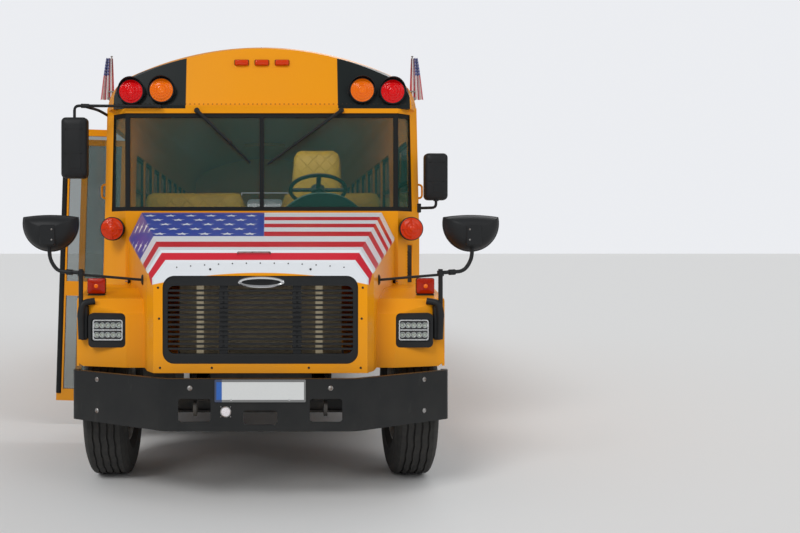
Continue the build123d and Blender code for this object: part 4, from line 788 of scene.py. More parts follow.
# %% Flag cloth
# The cloth hangs with its stripes running down it, so its colours read the shares stored on its points.
flag_cloth = Finish("flag_cloth", Roughness=0.85, Sheen_Weight=0.3)
across, along = (flag_cloth.place.make("ShaderNodeAttribute", {"attribute_name": share}, None, 2)
                 for share in ("across", "along"))
cloth_red = (across * 3.5).maths("FRACT").below(0.5, 0.05)
cloth = cloth_red.mix((0.70, 0.70, 0.72), (0.55, 0.015, 0.03))
dots = ((across * 13).repeat(1.0) ** 2 + (along * 14).repeat(1.0) ** 2).maths("SQRT").below(0.24, 0.08)
cloth_corner = across.above(0.46, 0.01) * along.below(0.42, 0.01)
cloth = cloth_corner.mix(cloth, dots.mix((0.03, 0.06, 0.30), (0.70, 0.70, 0.74)))
THREAD_PITCH = 0.0012
thread = (flag_cloth.z.repeat(THREAD_PITCH) / (THREAD_PITCH / 2) * 0.5
          + flag_cloth.y.repeat(THREAD_PITCH) / (THREAD_PITCH / 2) * 0.5)
flag_cloth.feed("Base Color", (flag_cloth.noise(0.03, 3) * 0.3).mix(cloth, (0.35, 0.33, 0.36)))
flag_cloth.feed("Roughness", 0.75 + thread * 0.15)
flag_cloth.relief(thread, 0.0002)

# %% [markdown]
# ### Plate and signs
# The number plate is a blank reflecting sheet with a blue end and a raised black rim. The stop arm is a red
# reflecting octagon with a white border. Both sheets glitter because they hold tiny beads. The beads could
# be real, but there are thousands, so a pattern of cells changes the colour from grain to grain instead.

# %% Plate and signs
PLATE_HEIGHT, RIM_X, RIM_Z, BLUE_END = 0.707, 0.256, 0.052, -0.224
plate_white = Finish("plate_white", Base_Color=(0.62, 0.63, 0.62), Roughness=0.3)
grains = plate_white.cells(0.003)
plate_rim = abs(plate_white.x).above(RIM_X, 0.001).most(abs(plate_white.z - PLATE_HEIGHT).above(RIM_Z, 0.001))
plate_sheet = grains.mix((0.60, 0.61, 0.60), (0.68, 0.69, 0.68))
plate_sheet = plate_white.x.below(BLUE_END, 0.001).mix(plate_sheet, (0.02, 0.11, 0.42))
plate_white.feed("Base Color", (plate_rim * 0.8).mix(plate_sheet, (0.05, 0.05, 0.05)))
plate_white.feed("Roughness", 0.25 + grains * 0.2)
plate_white.relief(plate_rim, 0.0012)

sign_red = Finish("sign_red", Base_Color=(0.55, 0.012, 0.018), Roughness=0.35)
sign_red.feed("Base Color", sign_red.cells(0.004).mix((0.60, 0.014, 0.020), (0.42, 0.010, 0.015)))
sign_red.feed("Roughness", 0.25 + sign_red.noise(0.1, 3) * 0.2)
sign_red.relief(sign_red.cells(0.004), 0.0002)
sign_white = Finish("sign_white", Base_Color=(0.72, 0.72, 0.70), Roughness=0.35)
sign_white.feed("Base Color", sign_white.cells(0.004).mix((0.74, 0.74, 0.72), (0.60, 0.60, 0.58)))
sign_white.relief(sign_white.cells(0.004), 0.0002)
print("finishes in all:", len(bpy.data.materials))

# %% [markdown]
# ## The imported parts' own finishes
# Each part that stays takes the finish of what it is made of. Parts that are built again further on are
# given one too, so nothing is ever bare.

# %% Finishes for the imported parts
PART_NAMES = {
    chassis_black: "frame_rails cross_members fuel_tank_and_battery_box front_axle rear_axle knuckle_left "
                   "knuckle_right",
    engine_iron: "engine_block",
    radiator_metal: "radiator",
    steel: "exhaust roof_flags",
    satin_black: "front_bumper rear_bumper rub_rails stop_arm_case",
    plate_white: "number_plate",
    floor_rubber: "body_floor entrance_steps",
    side_yellow: "left_wall right_wall",
    roof_yellow: "roof hatch_front hatch_rear",
    cap_paint: "front_cap",
    plain_yellow: "cowl rear_wall entrance_leaf_front entrance_leaf_rear rear_door",
    rubber: "windshield_frame",
    windshield_tint: "windshield_glass",
    side_tint: "body_glass entrance_glass_front entrance_glass_rear rear_door_glass",
    sash_metal: "window_sashes",
    cushion_vinyl: "seat_cushions",
    seat_vinyl: "seat_backs",
    driver_vinyl: "driver_seat",
    dash_vinyl: "dashboard",
    black_plastic: "steering_wheel warning_lamps_front rear_lamps signal_lamps side_mirrors wipers grille "
                   "headlamps cross_view_mirrors",
    sign_red: "stop_arm",
    hood_paint: "hood",
    amber_lens: "turn_lamps",
    tyre_finish: "tyre_front_left tyre_front_right tyres_rear_left tyres_rear_right",
    wheel_paint: "wheel_front_left wheel_front_right wheels_rear_left wheels_rear_right",
}
finish_of = {name: finish for finish, names in PART_NAMES.items() for name in names.split()}
for node_name, node_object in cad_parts.items():
    node_object.data.materials.clear()
    node_object.data.materials.append(finish_of[node_name].material)
print(len(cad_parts), "packed parts have", len(PART_NAMES), "finishes")

# %% [markdown]
# ## Lamps
# A warning lamp is a round lens with moulded rings in a black rim, shaded by a hood over its upper half. It
# could be one turned piece, but then the ribs would be lost, so lens, ribs, rim and hood are separate forms
# that make one piece. Smaller lenses of the same form serve on the cowl and at the back.


# %% Round lamps
def lens_form(radius, bulge, rings=4, steps=40):
    """A round lens facing +Z: height = bulge (1 - (r/R)^2) with a shallow ripple for each moulded ring."""
    share = np.concatenate([[0.01], np.linspace(0.06, 1.0, rings * 5)])
    ripple = 0.0016 * np.cos(share * rings * 2 * np.pi)
    profile = np.column_stack([share * radius, bulge * (1 - share**2) + ripple])
    return lathe(np.concatenate([[[radius, -0.012]], profile[::-1]]), steps)


def spokes(radius, bulge, count):
    """Raised ribs on a round lens: thin bars that follow the dome from a third of its radius outwards."""
    share = np.linspace(0.34, 0.93, 6)
    path = np.column_stack([share * radius, 0 * share, bulge * (1 - share**2) + 0.0008])
    return tube(path, 0.0016, 5).round_axis(count, "Z")


def shade_form(radius, reach, thick=0.004, sweep=214, steps=30):
    """A lamp's hood facing +Z: part of a tube over the top, longest there and shorter towards its lower ends.

    Reach at angle a from the top is reach * (0.28 + 0.72 cos^2(90 a / half sweep)).
    """
    half = math.radians(sweep / 2)
    angle = np.linspace(-half, half, steps)
    length = reach * (0.28 + 0.72 * np.cos(angle / half * np.pi / 2) ** 2)
    outer, inner = radius + thick, radius
    direction = np.stack([np.sin(angle), np.cos(angle)], axis=-1)
    section = [(outer, 0 * length), (outer, length), (inner, length), (inner, 0 * length)]
    return skin(np.stack([np.column_stack([r * direction, h]) for r, h in section], axis=1))


def rim_form(radius, depth, width=0.010):
    """A round bezel facing +Z, its outer edge rolled over."""
    outer = radius + width
    return ring([(radius, -depth), (outer, -depth), (outer, -0.004), (radius + width * 0.7, 0.0),
                 (radius + width * 0.2, 0.001), (radius, -0.002)], 40)


# %% Warning lamps on the cap
# Each row: finish, X and Z of a lamp, and the part that the pair of them replaces.
CAP_LAMPS = [("red", red_lens, 0.990, 2.730, ["warning_lamps_front"]),
             ("amber", amber_lens, 0.760, 2.740, ())]
LENS_RADIUS, CAP_FACE, CAP_LEAN = 0.087, -3.73, math.tan(math.radians(14))


def cap_y(z):
    """Where the cap's sloping face stands at a height."""
    return CAP_FACE + (z - 2.6) * CAP_LEAN


plate_radius = LENS_RADIUS + 0.012
lamp_plate = lathe([(LENS_RADIUS + 0.006, -0.10), (plate_radius, -0.098), (plate_radius, -0.054),
                    (LENS_RADIUS * 0.9, -0.05), (0.002, -0.05)], 40)
lamp_hood = shade_form(LENS_RADIUS + 0.014, 0.104, 0.005).placed(z=-0.05)
warning_lamp = (lens_form(LENS_RADIUS, 0.022) + spokes(LENS_RADIUS, 0.022, 24)
                + rim_form(LENS_RADIUS, 0.058).coat(1) + lamp_hood.coat(1) + lamp_plate.coat(1))
for shade, lens_finish, x, z, replaced in CAP_LAMPS:
    one = facing_front(warning_lamp).placed(x, cap_y(z) - 0.052, z)
    piece(f"warning_lamp_{shade}_front", one.both(), [lens_finish, black_plastic],
          replaces=replaced)

# %% Cowl lamps and cap markers
# Round orange lamps stand at the foot of the windshield's pillars, with a four-part hub and a black cup.
COWL_RADIUS = 0.082
hub = lathe([(0.024, 0.0), (0.022, 0.010), (0.012, 0.016), (0.002, 0.017)], 20).placed(z=0.014)
quarter_ribs = bar((0.022, 0.078), (-0.003, 0.003), (0.004, 0.020), 0.0012).round_axis(4, "Z")
cowl_front = lens_form(COWL_RADIUS, 0.020, 3) + spokes(COWL_RADIUS, 0.020, 36) + hub + quarter_ribs
cowl_cup = lathe([(0.060, -0.115), (0.084, -0.075), (0.088, -0.055), (0.080, -0.03), (0.002, -0.03)], 40)
cowl_black = rim_form(COWL_RADIUS, 0.055, 0.007).coat(1) + cowl_cup.coat(1)
cowl_lamp = facing_front(cowl_front + cowl_black).placed(1.125, -3.80, 1.69)
piece("cowl_lamps", cowl_lamp.both(), [cowl_lens, black_plastic],
      replaces=["signal_lamps"])

# Three small clearance lamps stand in a row on the cap's brow, each a ribbed lens on a black foot.
MARKER_XS, MARKER_Z = (-0.155, 0.0, 0.155), 2.9655
marker_foot = slab(rounded(0.112, 0.050, 0.010), -0.012, 0.004, 0.003).coat(1)
marker_dome = stack(rectangles([(0.104, 0.044, 0.010, 0.003), (0.102, 0.042, 0.010, 0.018),
                                (0.090, 0.030, 0.009, 0.027), (0.070, 0.016, 0.006, 0.030)]))
marker_rib = bar((-0.0018, 0.0018), (-0.019, 0.019), (0.016, 0.0285), 0.0006)
marker_ribs = marker_rib.at([(x, 0, 0) for x in np.linspace(-0.036, 0.036, 7)])
cap_markers = facing_front(marker_foot + marker_dome + marker_ribs)
cap_markers = cap_markers.at([(x, cap_y(MARKER_Z) - 0.002, MARKER_Z) for x in MARKER_XS])
piece("cap_markers", cap_markers, [cowl_lens, black_plastic])

# %% [markdown]
# ### Headlamps
# Each has a black bezel and a clear rectangular cover. Behind it are two rows of five bright reflector cups
# with an LED in each, and a bright frame. A picture of LEDs on a flat sheet would look the same from
# straight ahead only, so the cups are real ones. The cover is a piece of its own, because it is
# see-through.

# %% Headlamps
HEAD_X, HEAD_Z, HEAD_FACE = 0.964, 1.026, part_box("headlamps")[0].y
cup_places = [(x, y, 0) for x in np.linspace(-0.070, 0.070, 5) for y in (-0.030, 0.030)]
cup = lathe([(0.0172, -0.020), (0.0172, 0.000), (0.0155, 0.000), (0.0105, -0.012), (0.0040, -0.016)], 20)
chip = slab(rounded(0.013, 0.013, 0.002, 3), -0.0165, -0.0125, 0.0008).placed(z=0.003)
back_plate = slab(rounded(0.190, 0.132, 0.014), -0.030, -0.020, 0.002)
middle_bar = slab(rounded(0.184, 0.010, 0.003), -0.019, -0.002, 0.002)
bright_frame = hoop(rectangles([(0.188, 0.130, 0.014, -0.018), (0.188, 0.130, 0.014, 0.000),
                                (0.174, 0.116, 0.010, 0.000), (0.176, 0.118, 0.010, -0.018)]))
black_frame = hoop(rectangles([(0.2004, 0.1424, 0.018, -0.006), (0.2004, 0.1424, 0.018, 0.012),
                               (0.192, 0.134, 0.015, 0.014), (0.188, 0.130, 0.014, -0.006)]))
head_one = (cup.at(cup_places).coat(2) + chip.at(cup_places).coat(3) + back_plate.coat(1) + middle_bar.coat(2)
            + bright_frame.coat(2) + black_frame.coat(1))
head_one = facing_front(head_one).placed(HEAD_X, HEAD_FACE + 0.024, HEAD_Z)
piece("headlamp_insides", head_one.both(), [clear_lens, black_plastic, chrome, led_chip], body="hood")
cover = stack(rectangles([(0.187, 0.129, 0.014, 0.0), (0.187, 0.129, 0.014, 0.012),
                          (0.178, 0.120, 0.012, 0.018), (0.140, 0.090, 0.010, 0.021)]))
cover_one = facing_front(cover).placed(HEAD_X, HEAD_FACE + 0.020, HEAD_Z)
piece("headlamp_covers", cover_one.both(), clear_pane, body="hood")

# %% [markdown]
# ### Turn lamps on the fenders
# A square red-orange lens on a black foot, with a bright bulb cup showing through its middle. Lenses of
# this kind face both ways, so the same stack of outlines is used at the front and, turned about, at the
# back.

# %% Turn lamps
TURN_PLACE, TURN_FOOT_PLACE = (1.070, -4.780, 1.296), (1.070, -4.780, 1.214)
turn_foot = slab(rounded(0.112, 0.058, 0.008), 0.0, 0.030, 0.003).placed(*TURN_FOOT_PLACE).coat(1)
turn_body = slab(rounded(0.118, 0.104, 0.012), -0.018, 0.018, 0.003)
turn_face = stack(rectangles([(0.116, 0.100, 0.012, 0.016), (0.112, 0.096, 0.011, 0.024),
                              (0.092, 0.076, 0.010, 0.029), (0.020, 0.016, 0.004, 0.031)]))
turn_ring = ring([(0.020, 0.028), (0.024, 0.028), (0.024, 0.0325), (0.020, 0.0325)], 24)
bulb = lathe([(0.015, 0.028), (0.014, 0.031), (0.008, 0.034), (0.002, 0.035)], 8).coat(2)
turn_lamp = facing_front(turn_body).coat(1) + facing_front(turn_face + turn_ring + bulb)
turn_lamp += facing_back(turn_face)
piece("fender_turn_lamps", (turn_lamp.placed(*TURN_PLACE) + turn_foot).both(),
      [turn_lens, black_plastic, amber_lens], body="hood", replaces=["turn_lamps"])

# %% [markdown]
# ## Small fittings on the nose
# Screws and handles sit on surfaces that slope and curve, so their places could be measured one by one. It
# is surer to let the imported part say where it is: a straight line is sent at it, and the fitting stands
# where the line first meets it, square to the surface there.


# %% Meeting points
BACKWARDS, DOWN = (0, 1, 0), (0, 0, -1)
AHEAD = -6.0
skins = {}


def meet(nodes, start, towards):
    """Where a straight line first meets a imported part, and the part's outward direction there.

    nodes may name several parts with spaces between, and the first one that the line meets at all is taken.
    """
    for node in nodes.split():
        if node not in skins:
            skins[node] = BVHTree.FromObject(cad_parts[node], bpy.context.evaluated_depsgraph_get())
        point, normal, _, _ = skins[node].ray_cast(Vector(start), Vector(towards))
        if point is not None:
            return np.array(point), np.array(normal)
    raise ValueError(f"a line from {start} doesn't meet {nodes}")


def from_side(nodes, side, y, z, away=2):
    """What meet() says of a level line from one side of the bus (1 left, -1 right), at Y and Z."""
    return meet(nodes, (side * away, y, z), (-side, 0, 0))


def seated(form, point, normal):
    """A form built on the ground about +Z, set on a point with its Z along normal."""
    matrix = np.array(Vector(normal).to_track_quat("Z", "Y").to_matrix())
    return Form(form.points @ matrix.T + point, form.corners, form.sizes, form.coats)


def studs(form, node, places):
    """One copy of the form at each (x, z) of places, on what a line from the front meets."""
    return total(seated(form, *meet(node, (x, AHEAD, z), BACKWARDS)) for x, z in places)


def both_sides(places):
    """Rows (x, z) followed by the same rows on the other side of the bus."""
    return places + [(-x, z) for x, z in places]


# %% Nose screws
screw_head = lathe([(0.0065, -0.002), (0.0070, 0.0008), (0.0056, 0.0034), (0.0015, 0.0046)], 12)
NOSE_SCREWS = [(0.60, 0.826), (0.29, 0.826), (0.30, 1.415), (0.612, 1.305), (0.606, 1.12)]
roll_screws = [(x, 1.452 - 0.10 * x * x) for x in np.linspace(-0.50, 0.50, 13)]
nose_screws = studs(screw_head, "hood", both_sides(NOSE_SCREWS))
nose_screws += studs(screw_head.sized(0.6, 0.6, 0.6), "hood", roll_screws)
piece("nose_screws", nose_screws, black_plastic, body="hood")


# %% Bare badge and grille clips
def oval(width, height, steps=40):
    """An ellipse's outline: x = w/2 cos a, y = h/2 sin a."""
    angle = np.arange(steps) * 2 * np.pi / steps
    return np.column_stack([width / 2 * np.cos(angle), height / 2 * np.sin(angle)])


badge_rows = ((0.276, 0.070, -0.004), (0.276, 0.070, 0.004), (0.264, 0.058, 0.008), (0.236, 0.038, 0.005),
              (0.236, 0.038, -0.004))
badge_rim = hoop([(oval(w, h), level) for w, h, level in badge_rows])
badge_field = stack([(oval(0.240, 0.041), -0.004), (oval(0.240, 0.041), 0.002), (oval(0.16, 0.03), 0.004)])
badge_at, _ = meet("grille", (0.005, AHEAD, 1.338), BACKWARDS)
piece("bare_badge", facing_front(badge_rim + badge_field.coat(1)).placed(*badge_at), [chrome, satin_black],
      body="hood")

CLIP_XS, CLIP_Y, SLATS, GRILLE_FOOT, GRILLE_TOP = (-0.236, -0.204, 0.204, 0.236), -5.303, 13, 0.929, 1.296
clip = bar((-0.012, 0.012), (-0.004, 0.004), (-0.009, 0.009), 0.002)
slat_heights = GRILLE_FOOT + (GRILLE_TOP - GRILLE_FOOT) * (np.arange(SLATS) + 1) / (SLATS + 1)
clips = clip.at([(x, CLIP_Y, z) for x in CLIP_XS for z in slat_heights])
piece("grille_clips", clips, black_plastic, body="hood")

# %% Hood handle and latches
handle_low, handle_high = (meet("hood", (x, -5.246, 2.2), DOWN)[0] for x in (-0.137, 0.059))
handle_rise = np.array((0, -0.008, 0.012))
handle_path = [handle_low, handle_low + handle_rise, handle_high + handle_rise, handle_high]
piece("hood_handle", tube(bent(handle_path, 0.012), 0.0045, 8), steel, body="hood")

# Rubber hold-downs at the hood's rear lower corners have a steel hook each.
strap = bar((-0.018, 0.018), (-0.070, 0.070), (0.0, 0.010), 0.003)
hook = tube(bent([(0, 0.06, 0.004), (0, 0.06, 0.022), (0, 0.095, 0.022), (0, 0.095, 0.004)], 0.012), 0.004, 8)
latch_point, _ = from_side("hood", 1, -3.86, 1.30, 1.5)
latch = facing_side((strap + hook.coat(1)).turned(90, "Z"), 1).placed(*latch_point)
piece("hood_latches", latch.both(), [rubber, steel], body="hood")

# %% Radiator frame behind the grille
rung_places = [(0, y, 0) for y in np.linspace(-0.24, 0.24, 13)]
side_plate = bar((-0.022, 0.022), (-0.260, 0.260), (0.0, 0.006), 0.002)
side_plate += bar((-0.022, 0.022), (-0.006, 0.006), (0.005, 0.012), 0.002).at(rung_places)
side_frames = facing_front(side_plate).at([(-0.372, -5.128, 1.14), (0.361, -5.128, 1.14)])
piece("radiator_side_frames", side_frames, beige_frame_painted_glow)

# %% [markdown]
# ## Bumper
# Round-headed bolts hold the channel. A small clear lamp sits in a square bracket beside the middle slot,
# on the entrance side. The bolts stand where lines meet the channel, so those on its bent ends lean with
# it.

# %% Bumper fittings
BUMPER_BOLTS = [(0.412, 0.722), (1.010, 0.732), (1.010, 0.540)]
dome_bolt = lathe([(0.0150, -0.002), (0.0155, 0.001), (0.0120, 0.0045), (0.0060, 0.0065), (0.002, 0.0070)],
                  16)
piece("bumper_bolts", studs(dome_bolt, "front_bumper", both_sides(BUMPER_BOLTS)), steel)

LAMP_PLACE = (-0.2015, -5.4500, 0.584)
LAMP_SCREWS = [(x, y, 0.002) for x in (-0.028, 0.028) for y in (-0.029, 0.029)]
bracket = slab(rounded(0.070, 0.072, 0.005), -0.002, 0.002, 0.0008)
bracket += bar((-0.020, 0.020), (-0.060, -0.034), (-0.002, 0.001), 0.0006)
lamp_cup = ring([(0.027, 0.0), (0.032, 0.0), (0.032, 0.0045), (0.027, 0.0055)], 28).coat(1)
lamp_lens = lathe([(0.0268, 0.0), (0.0268, 0.003), (0.020, 0.0050), (0.008, 0.0066), (0.002, 0.0070)], 28)
lamp_lens = lamp_lens.coat(2)
lamp_screws = screw_head.sized(0.5, 0.5, 0.6).at(LAMP_SCREWS).coat(1)
bumper_lamp = facing_front(bracket + lamp_cup + lamp_lens + lamp_screws).placed(*LAMP_PLACE)
piece("bumper_lamp", bumper_lamp, [black_plastic, steel, clear_lens])
plate_screws = facing_front(screw_head.sized(0.8, 0.8, 0.5)).at([(x, -5.4565, 0.655) for x in (-0.17, 0.17)])
piece("plate_screws", plate_screws, chrome)

# %% [markdown]
# ## Mirrors
# The two flat mirrors have moulded shells that round towards the front, and their glass faces back. A box
# with bevelled edges would do from far off. Outlines that shrink as they go forwards follow the moulding's
# own roundness, and take the pressed panel and ribs on top. The cross-view mirrors on the fenders are
# half-moon shells on bent tubes, made the same way.

# %% Flat mirrors
MIRROR_ROUNDING = [(-0.50, 0.000), (-0.44, 0.000), (0.05, 0.001), (0.24, 0.006), (0.36, 0.015), (0.45, 0.032),
                   (0.50, 0.058)]  # rows: share of the depth, and how far the outline has shrunk there
ARM_RADIUS = 0.011


def mirror_shell(width, height, depth):
    """A mirror's shell facing +Z, its glass at the back: outlines shrink towards the front as it rounds."""
    return stack([(rounded(width - 2 * w, height - 2 * w, max(0.034 - w * 0.4, 0.010), 6), share * depth)
                  for share, w in MIRROR_ROUNDING])


def mirror_head(width, height, depth):
    """Shell, pressed panel lines, glass and its rim for one flat mirror."""
    panel = slab(rounded(width * 0.44, height * 0.17, 0.008), depth * 0.44, depth * 0.515, 0.002)
    rib = bar((-width * 0.34, width * 0.34), (-0.0025, 0.0025), (depth * 0.40, depth * 0.507), 0.001)
    ribs = rib.at([(0, -height * 0.10, 0), (0, height * 0.30, 0)])
    pane_outline = rounded(width - 0.030, height - 0.030, 0.022, 6)
    glass = slab(pane_outline, -depth * 0.5 - 0.003, -depth * 0.5 + 0.004, 0.001).coat(1)
    split = bar((-width / 2 + 0.018, width / 2 - 0.018), (-0.004, 0.004),
                (-depth * 0.5 - 0.005, -depth * 0.5), 0.001)
    return (mirror_shell(width, height, depth) + panel.placed(0.012, -height * 0.26) + ribs + glass
            + split.placed(0, -height * 0.18))


right_head = facing_front(mirror_head(0.200, 0.460, 0.088)).placed(-1.41, -3.780, 2.300)
top_arm = bent([(-1.41, -3.78, 2.50), (-1.41, -3.78, 2.616), (-1.33, -3.78, 2.616), (-0.765, -3.78, 2.612)],
               0.05)
lower_arm = bent([(-1.335, -3.775, 2.612), (-1.25, -3.66, 2.60), (-1.165, -3.535, 2.557)], 0.04)
right_arms = tube(top_arm, ARM_RADIUS) + tube(lower_arm, ARM_RADIUS)
right_clamp = tube([(-1.30, -3.78, 2.614), (-1.36, -3.78, 2.616)], 0.017, 12)
right_foot = bar((-0.792, -0.758), (-3.792, -3.742), (2.600, 2.624), 0.003)
wall_foot = lathe([(0.030, 0.0), (0.030, 0.006), (0.018, 0.014), (0.002, 0.016)], 20)
wall_foot = facing_side(wall_foot, -1).placed(-1.176, -3.535, 2.557)
left_head = facing_front(mirror_head(0.180, 0.361, 0.088)).placed(1.335, -3.645, 2.0925)
left_arm = bent([(1.335, -3.645, 1.93), (1.335, -3.645, 1.855), (1.255, -3.585, 1.855),
                 (1.195, -3.545, 1.855)], 0.05)
left_arms = tube(left_arm, ARM_RADIUS) + tube([(1.335, -3.645, 1.905), (1.335, -3.645, 1.935)], 0.02, 12)
left_foot = bar((1.190, 1.232), (-3.580, -3.510), (1.820, 1.890), 0.004)
piece("flat_mirrors", right_head + right_arms + right_clamp + right_foot + wall_foot + left_head + left_arms
      + left_foot, [black_plastic, mirror_glass], replaces=["side_mirrors"])


# %% Cross-view mirrors
MOON_RADIUS, CHORD_HEIGHT, MOON_MIDDLE = 0.18, 0.04, (0, -0.045)


def half_moon(scale, steps=44):
    """A half-moon's outline, anticlockwise: an arc below, closed by an arched chord above the arc's centre.

    The outline shrinks towards MOON_MIDDLE, a point below the arc's centre.
    """
    low = math.asin(CHORD_HEIGHT / MOON_RADIUS)
    angle = np.linspace(np.pi - low, 2 * np.pi + low, steps)
    arc = MOON_RADIUS * np.column_stack([np.cos(angle), np.sin(angle)])
    across = np.linspace(arc[-1, 0], arc[0, 0], 16)[1:-1]
    top = np.column_stack([across, CHORD_HEIGHT + 0.014 * (1 - (across / arc[-1, 0]) ** 2)])
    return (np.concatenate([arc, top]) - MOON_MIDDLE) * scale + MOON_MIDDLE


def moon_stack(rows):
    """A closed form through half-moons, from rows (scale, level)."""
    return stack([(half_moon(scale), level) for scale, level in rows])


moon = moon_stack([(0.955, -0.010), (1.0, -0.008), (1.012, 0.002), (1.0, 0.011), (0.965, 0.014),
                   (0.95, 0.026), (0.86, 0.062), (0.70, 0.088), (0.48, 0.103), (0.22, 0.109), (0.02, 0.110)])
moon_glass = moon_stack([(0.02, -0.030), (0.5, -0.026), (0.8, -0.018), (0.945, -0.010), (0.945, -0.006)])
moon_glass = moon_glass.coat(1)
bracket_plate = stack(rectangles([(0.100, 0.130, 0.012, 0.060), (0.098, 0.128, 0.012, 0.108),
                                  (0.086, 0.116, 0.012, 0.115)])).placed(0, -0.075)
plate_heads = screw_head.sized(0.9, 0.9, 1).at([(-0.028, -0.040, 0.114), (-0.028, -0.105, 0.114)]).coat(2)
moon_head = facing_front(moon + bracket_plate + plate_heads + moon_glass).placed(1.345, -4.890, 1.700)

# %% Cross-view mirrors' arms
stem = bent([(1.345, -4.955, 1.600), (1.338, -4.955, 1.470), (1.290, -4.955, 1.396),
             (1.128, -4.990, 1.386)], 0.06)
foot_point, foot_normal = from_side("hood", 1, -4.928, 1.34, 1.08)
foot_disc = lathe([(0.034, 0.0), (0.034, 0.005), (0.022, 0.011), (0.002, 0.013)], 20)
strut_end = tuple(foot_point + foot_normal * 0.006)
strut = tube([(1.140, -4.988, 1.375), (0.95, -4.957, 1.358), strut_end], 0.0085, 8)
upright = tube([(1.135, -4.988, 1.410), (1.135, -4.988, 1.150)], 0.0145, 12)
clamps = tube([(1.135, -4.988, 1.400), (1.135, -4.988, 1.366)], 0.022, 12)
clamps += tube([(1.19, -4.977, 1.389), (1.23, -4.968, 1.391)], 0.018, 12)
shoe_path = bent([(1.128, -4.992, 0.968), (1.132, -4.996, 1.130), (1.122, -4.992, 1.196),
                  (1.050, -4.972, 1.208)], 0.05)
shoe_radius = np.interp(np.arange(len(shoe_path)), [0, 2, len(shoe_path) - 1], [0.022, 0.026, 0.021])
shoe_pad = bar((1.088, 1.150), (-5.000, -4.932), (0.962, 1.186), 0.014)
cross_view = (moon_head + tube(stem, 0.0125) + seated(foot_disc, foot_point, foot_normal) + strut + upright
              + clamps + tube(shoe_path, shoe_radius, 14) + shoe_pad)
piece("fender_mirrors", cross_view.both(), [black_plastic, mirror_glass, steel], body="hood",
      replaces=["cross_view_mirrors"])

# %% [markdown]
# ## Wipers, cowl and roof
# The wipers hang from pivots over the windshield. An arm and its blade are two rods that cross at a claw,
# so each is a tube along a path between the same two points. The cowl has a mesh-covered vent on the
# driver's side, and grab handles stand beside the windshield's pillars.


# %% Wipers
def wiper(pivot_x, tip_x, tip_z):
    """A wiper from its pivot over the glass: a tapering arm, a claw at its end and the longer blade."""
    pivot, tip = np.array((pivot_x, -3.764, 2.5835)), np.array((tip_x, -3.764, tip_z))

    def path(shares, forwards):
        """Points at shares of the way from pivot to tip, each moved along Y."""
        points = pivot + (tip - pivot) * np.array(shares)[:, None]
        still = 0 * points[:, 0]
        return points + np.column_stack([still, np.broadcast_to(forwards, len(points)), still])

    arm = tube(path([0.0, 0.1, 0.5, 0.62], [-0.004, -0.006, -0.004, 0.004]), [0.014, 0.013, 0.010, 0.008], 8)
    blade = tube(path([0.30, 0.65, 1.0], 0.017), 0.0075, 6)
    spine = tube(path([0.36, 0.50, 0.62, 0.76, 0.92], [0.014, 0.006, 0.003, 0.006, 0.014]), 0.0065, 6)
    claw = bar((-0.012, 0.012), (-0.018, 0.018), (-0.012, 0.012), 0.003)
    claw = claw.placed(*(pivot + (tip - pivot) * 0.62))
    knob = facing_front(lathe([(0.020, -0.012), (0.021, 0.006), (0.017, 0.013), (0.004, 0.014)], 20))
    return arm + blade + spine + claw + knob.placed(*pivot)


piece("front_wipers", wiper(-0.49, -0.085, 2.190) + wiper(0.60, 0.045, 2.180), black_plastic,
      replaces=["wipers"])

# %% Cowl vent
VENT_X, VENT_Z, VENT_WIDE, VENT_HIGH, WIRE_PITCH = 1.115, 1.425, 0.062, 0.285, 0.0226
vent_y = meet("cowl", (VENT_X, AHEAD, VENT_Z), BACKWARDS)[0][1]
# The black back under the wires is a flat dark sheet: painted shade standing in for the vent's deep opening.
vent_shade_sheet = slab(rounded(VENT_WIDE, VENT_HIGH, 0.006), -0.004, 0.0005, 0.0003)
crossing = (tube([(-0.031, -0.031, 0), (0.031, 0.031, 0)], 0.0022, 5)
            + tube([(-0.031, 0.031, 0), (0.031, -0.031, 0)], 0.0022, 5))
wires = crossing.at([(0, y, 0.0025) for y in np.arange(-8, 9) * WIRE_PITCH if abs(y) < 0.112]).coat(1)
vent_rim = hoop(rectangles([(0.076, 0.300, 0.010, -0.002), (0.076, 0.300, 0.010, 0.005),
                            (0.060, 0.284, 0.006, 0.005), (0.060, 0.284, 0.006, -0.002)])).coat(2)
vent = facing_front(vent_shade_sheet + wires + vent_rim).placed(VENT_X, vent_y, VENT_Z)
piece("cowl_vent", vent, [chassis_black, satin_black, plain_yellow])

# %% Grab handles and aerial
grip = bent([(1.19, -3.50, 2.040), (1.250, -3.50, 2.040), (1.250, -3.50, 1.935), (1.19, -3.50, 1.935)], 0.03)
piece("grab_handles", tube(grip, 0.0085).both(), plain_yellow)
aerial_foot = meet("roof", (-0.004, -3.36, 4.0), DOWN)[0]
aerial_path = [aerial_foot + (0, 0, rise) for rise in (-0.004, 0.012, 0.043)]
piece("aerial", tube(aerial_path, [0.012, 0.006, 0.002], 8), black_plastic)

# %% [markdown]
# ## Wheels and tyres
# Four zig-zag grooves run round each tread, the shoulders are notched, and two plain raised rings run round
# the bulging sidewalls. A bump picture could show all that, but the tread's outline would stay smooth. Here
# one section goes round the axle, and its rows shift a little from step to step, so grooves, notches and
# rings come out of the same closed form. Ten nuts hold each wheel round its hub.

# %% Tyres
TREAD_RADIUS, GROOVES = 0.525, (-0.069, -0.024, 0.024, 0.069)
